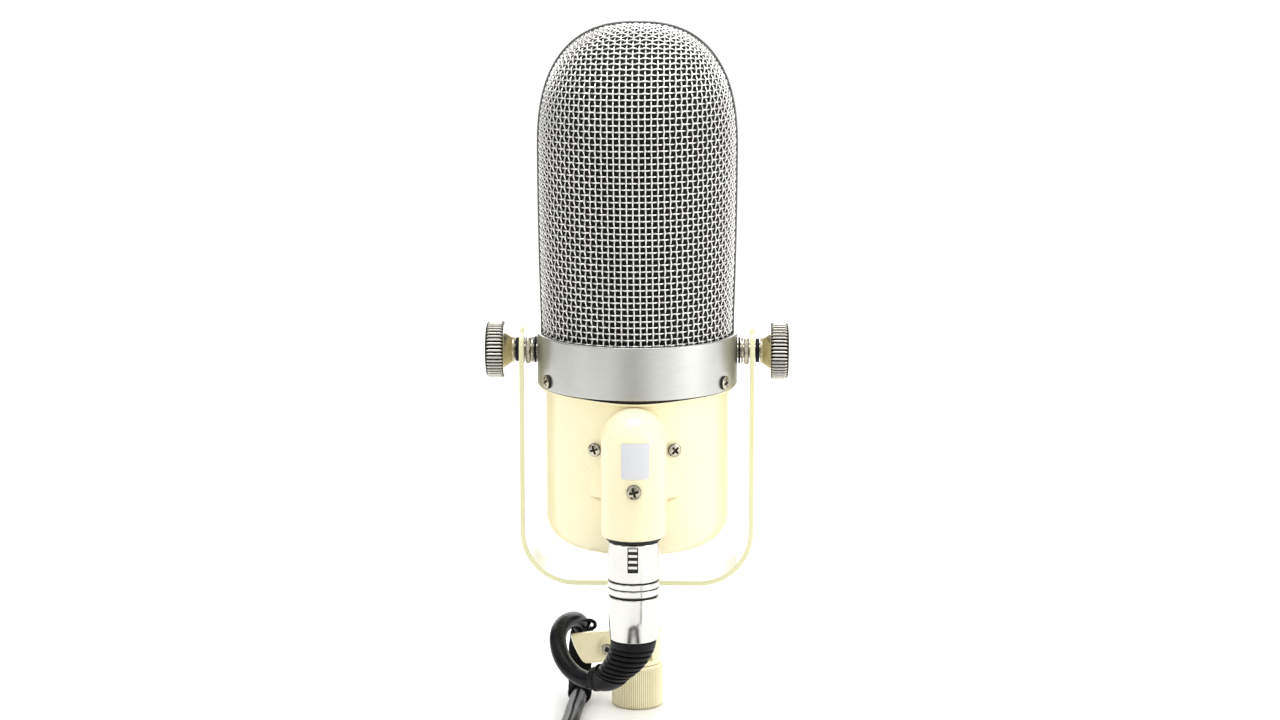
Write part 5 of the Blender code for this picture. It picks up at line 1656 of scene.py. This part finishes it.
def makeFarPlug():
    bootLow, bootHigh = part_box("far_plug_boot")
    shellLow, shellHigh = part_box("far_plug_shell")
    at = (0, (shellLow.y + shellHigh.y) / 2, (shellLow.z + shellHigh.z) / 2)
    x0, x1 = bootLow.x, bootHigh.x
    r = plug["radius"]
    profile = [(0, x0), (3.7 * mm, x0), (4.1 * mm, x0 + 0.4 * mm)]
    ribs, perRib = 6, 10
    for i in range(ribs * perRib + 1):
        t = i / (ribs * perRib)
        body = 4.4 + 3.4 * t ** 1.2
        wave = 0.5 - 0.5 * math.cos(2 * math.pi * t * ribs)
        profile.append(((body - 0.5 * (1 - wave) ** 2) * mm, x0 + 2.5 * mm + 18 * mm * t))
    profile += [(8.3 * mm, x1 - 7.5 * mm), (8.35 * mm, x1 - 0.3 * mm), (8.1 * mm, x1), (0, x1)]
    piece = turned("farPlugBoot", profile, "rubber", 72, at, (1, 0, 0))
    piece.visible_glossy = False
    settle(piece, "root", "rubber", "far_plug_boot")
    x2, x3 = shellLow.x, shellHigh.x
    profile = [(0, x2)] + eased([
        (0.1 * mm, x2), (r - 0.9 * mm, x2, 0.25 * mm), (r - 0.1 * mm, x2 + 17.6 * mm, 0.2 * mm),
        (r - 0.7 * mm, x2 + 18.0 * mm, 0.1 * mm), (r - 0.7 * mm, x2 + 18.6 * mm, 0.1 * mm),
        (r, x2 + 19.0 * mm, 0.25 * mm), (r, x2 + 21.6 * mm, 0.25 * mm),
        (r - 0.25 * mm, x2 + 21.9 * mm, 0.1 * mm), (r - 0.25 * mm, x2 + 22.2 * mm, 0.1 * mm),
        (r, x2 + 22.5 * mm, 0.2 * mm), (r, x3, 0.4 * mm), (7.9 * mm, x3, 0.25 * mm),
        (7.9 * mm, x3 - 18 * mm), (0, x3 - 18 * mm)], 0.2 * mm, 4)
    piece = turned("farPlugShell", profile, "nickel", 128, at, (1, 0, 0))
    piece.visible_glossy = False
    settle(piece, "root", "nickel", "far_plug_shell")
    return ["farPlugBoot", "farPlugShell", "far_plug_insert"]


makePlug()
makeButton()
makeBoot()
farPieces = makeFarPlug()
print("connectors made")


# CAD nodes that stay take their slot's finish

def finishKeptNodes():
    slots = {entry["node"]: entry["material_slot"] for entry in record["subparts"]}
    for name, node in frame["nodes"].items():
        if node.hide_render:
            continue
        finish = {"nickel": "fastener"}.get(slots[name], slots[name])
        node.data.materials.clear()
        node.data.materials.append(finishes[finish])


finishKeptNodes()


# Cable length

def declareCords():
    (cordOut, out), (cordTied, tied), (cordRun, run) = cords
    lengthOf(out)
    lengthOf(tied)
    lengthOf(run)
    print("cable length:", round(lengthOf(out) + lengthOf(tied) + lengthOf(run), 3))


declareCords()


# Studio

studio = {
    "world": 1.02, "floor": 6.0, "lampAim": 0.14, "cardAim": 0.18,
    "lamps": {
        "leftBox": ((-0.85, -0.40, 0.38), (0.45, 0.8), 0.3),
        "rightBox": ((0.85, -0.40, 0.38), (0.45, 0.8), 2.4),
        "topBox": ((0.0, -0.15, 1.10), (0.7, 0.5), 5.5),
        "backBox": ((0.0, 0.95, 0.42), (1.3, 0.45), 5.0),
    },
    # place, width, height and brightness of cards that only reflections see
    "cards": {
        "cardFront": ((-0.05, -1.60, 0.40), 0.8, 1.5, 0.45),
        "cardTable": ((-0.04, -0.66, 0.012), 0.34, 0.62, 0.50),
        "cardLeft": ((-0.62, -0.62, 0.25), 0.22, 0.9, 0.30),
        "cardSide": ((-0.95, -0.06, 0.22), 0.60, 0.8, 0.20),
        "cardBackLeft": ((-0.85, 0.75, 0.30), 0.60, 1.4, 0.02),
        "cardBackRight": ((0.85, 0.75, 0.30), 0.55, 1.4, 0.02),
    },
}


def makeCard(name, spot, wide, tall, glow):
    half, high = wide / 2, tall / 2
    card = addPiece(name, [(-half, -high, 0), (half, -high, 0), (half, high, 0),
                           (-half, high, 0)], [(0, 1, 2, 3)], None)
    card.location = spot
    # a card near the table lies on it; the others face the object
    onTable = spot[2] < 0.1
    way = Vector((0, 0, 1)) if onTable else Vector((0, 0, studio["cardAim"])) - Vector(spot)
    card.rotation_euler = way.to_track_quat("Z", "Y").to_euler()
    finish = Finish(name, Base_Color=(0, 0, 0), Roughness=1.0, Specular_IOR_Level=0.0,
                    Emission_Color=(1.0, 0.99, 0.96), Emission_Strength=glow)
    card.data.materials.append(finish.material)
    card.visible_camera = card.visible_diffuse = card.visible_shadow = False


def makeStudio():
    world = bpy.data.worlds.new("studioWorld")
    bpy.context.scene.world = world
    world.use_nodes = True
    background = world.node_tree.nodes["Background"]
    background.inputs["Color"].default_value = (1, 1, 1, 1)
    background.inputs["Strength"].default_value = studio["world"]
    aim = Vector((0, 0, studio["lampAim"]))
    for name, (spot, size, power) in studio["lamps"].items():
        data = bpy.data.lights.new(name, "AREA")
        data.shape = "RECTANGLE"
        data.size, data.size_y = size
        data.energy = power
        lamp = bpy.data.objects.new(name, data)
        bpy.context.scene.collection.objects.link(lamp)
        lamp.location = spot
        lamp.rotation_euler = (aim - Vector(spot)).to_track_quat("-Z", "Y").to_euler()
        lamp.visible_camera = False
    for name, (spot, wide, tall, glow) in studio["cards"].items():
        makeCard(name, spot, wide, tall, glow)
    reach = studio["floor"]
    floor = addPiece("studioFloor", [(-reach, -reach, 0), (reach, -reach, 0),
                                     (reach, reach, 0), (-reach, reach, 0)],
                     [(0, 1, 2, 3)], None)
    floor.data.materials.append(floorPaper())
    bpy.context.scene.view_settings.view_transform = "Standard"


makeStudio()

print("done")
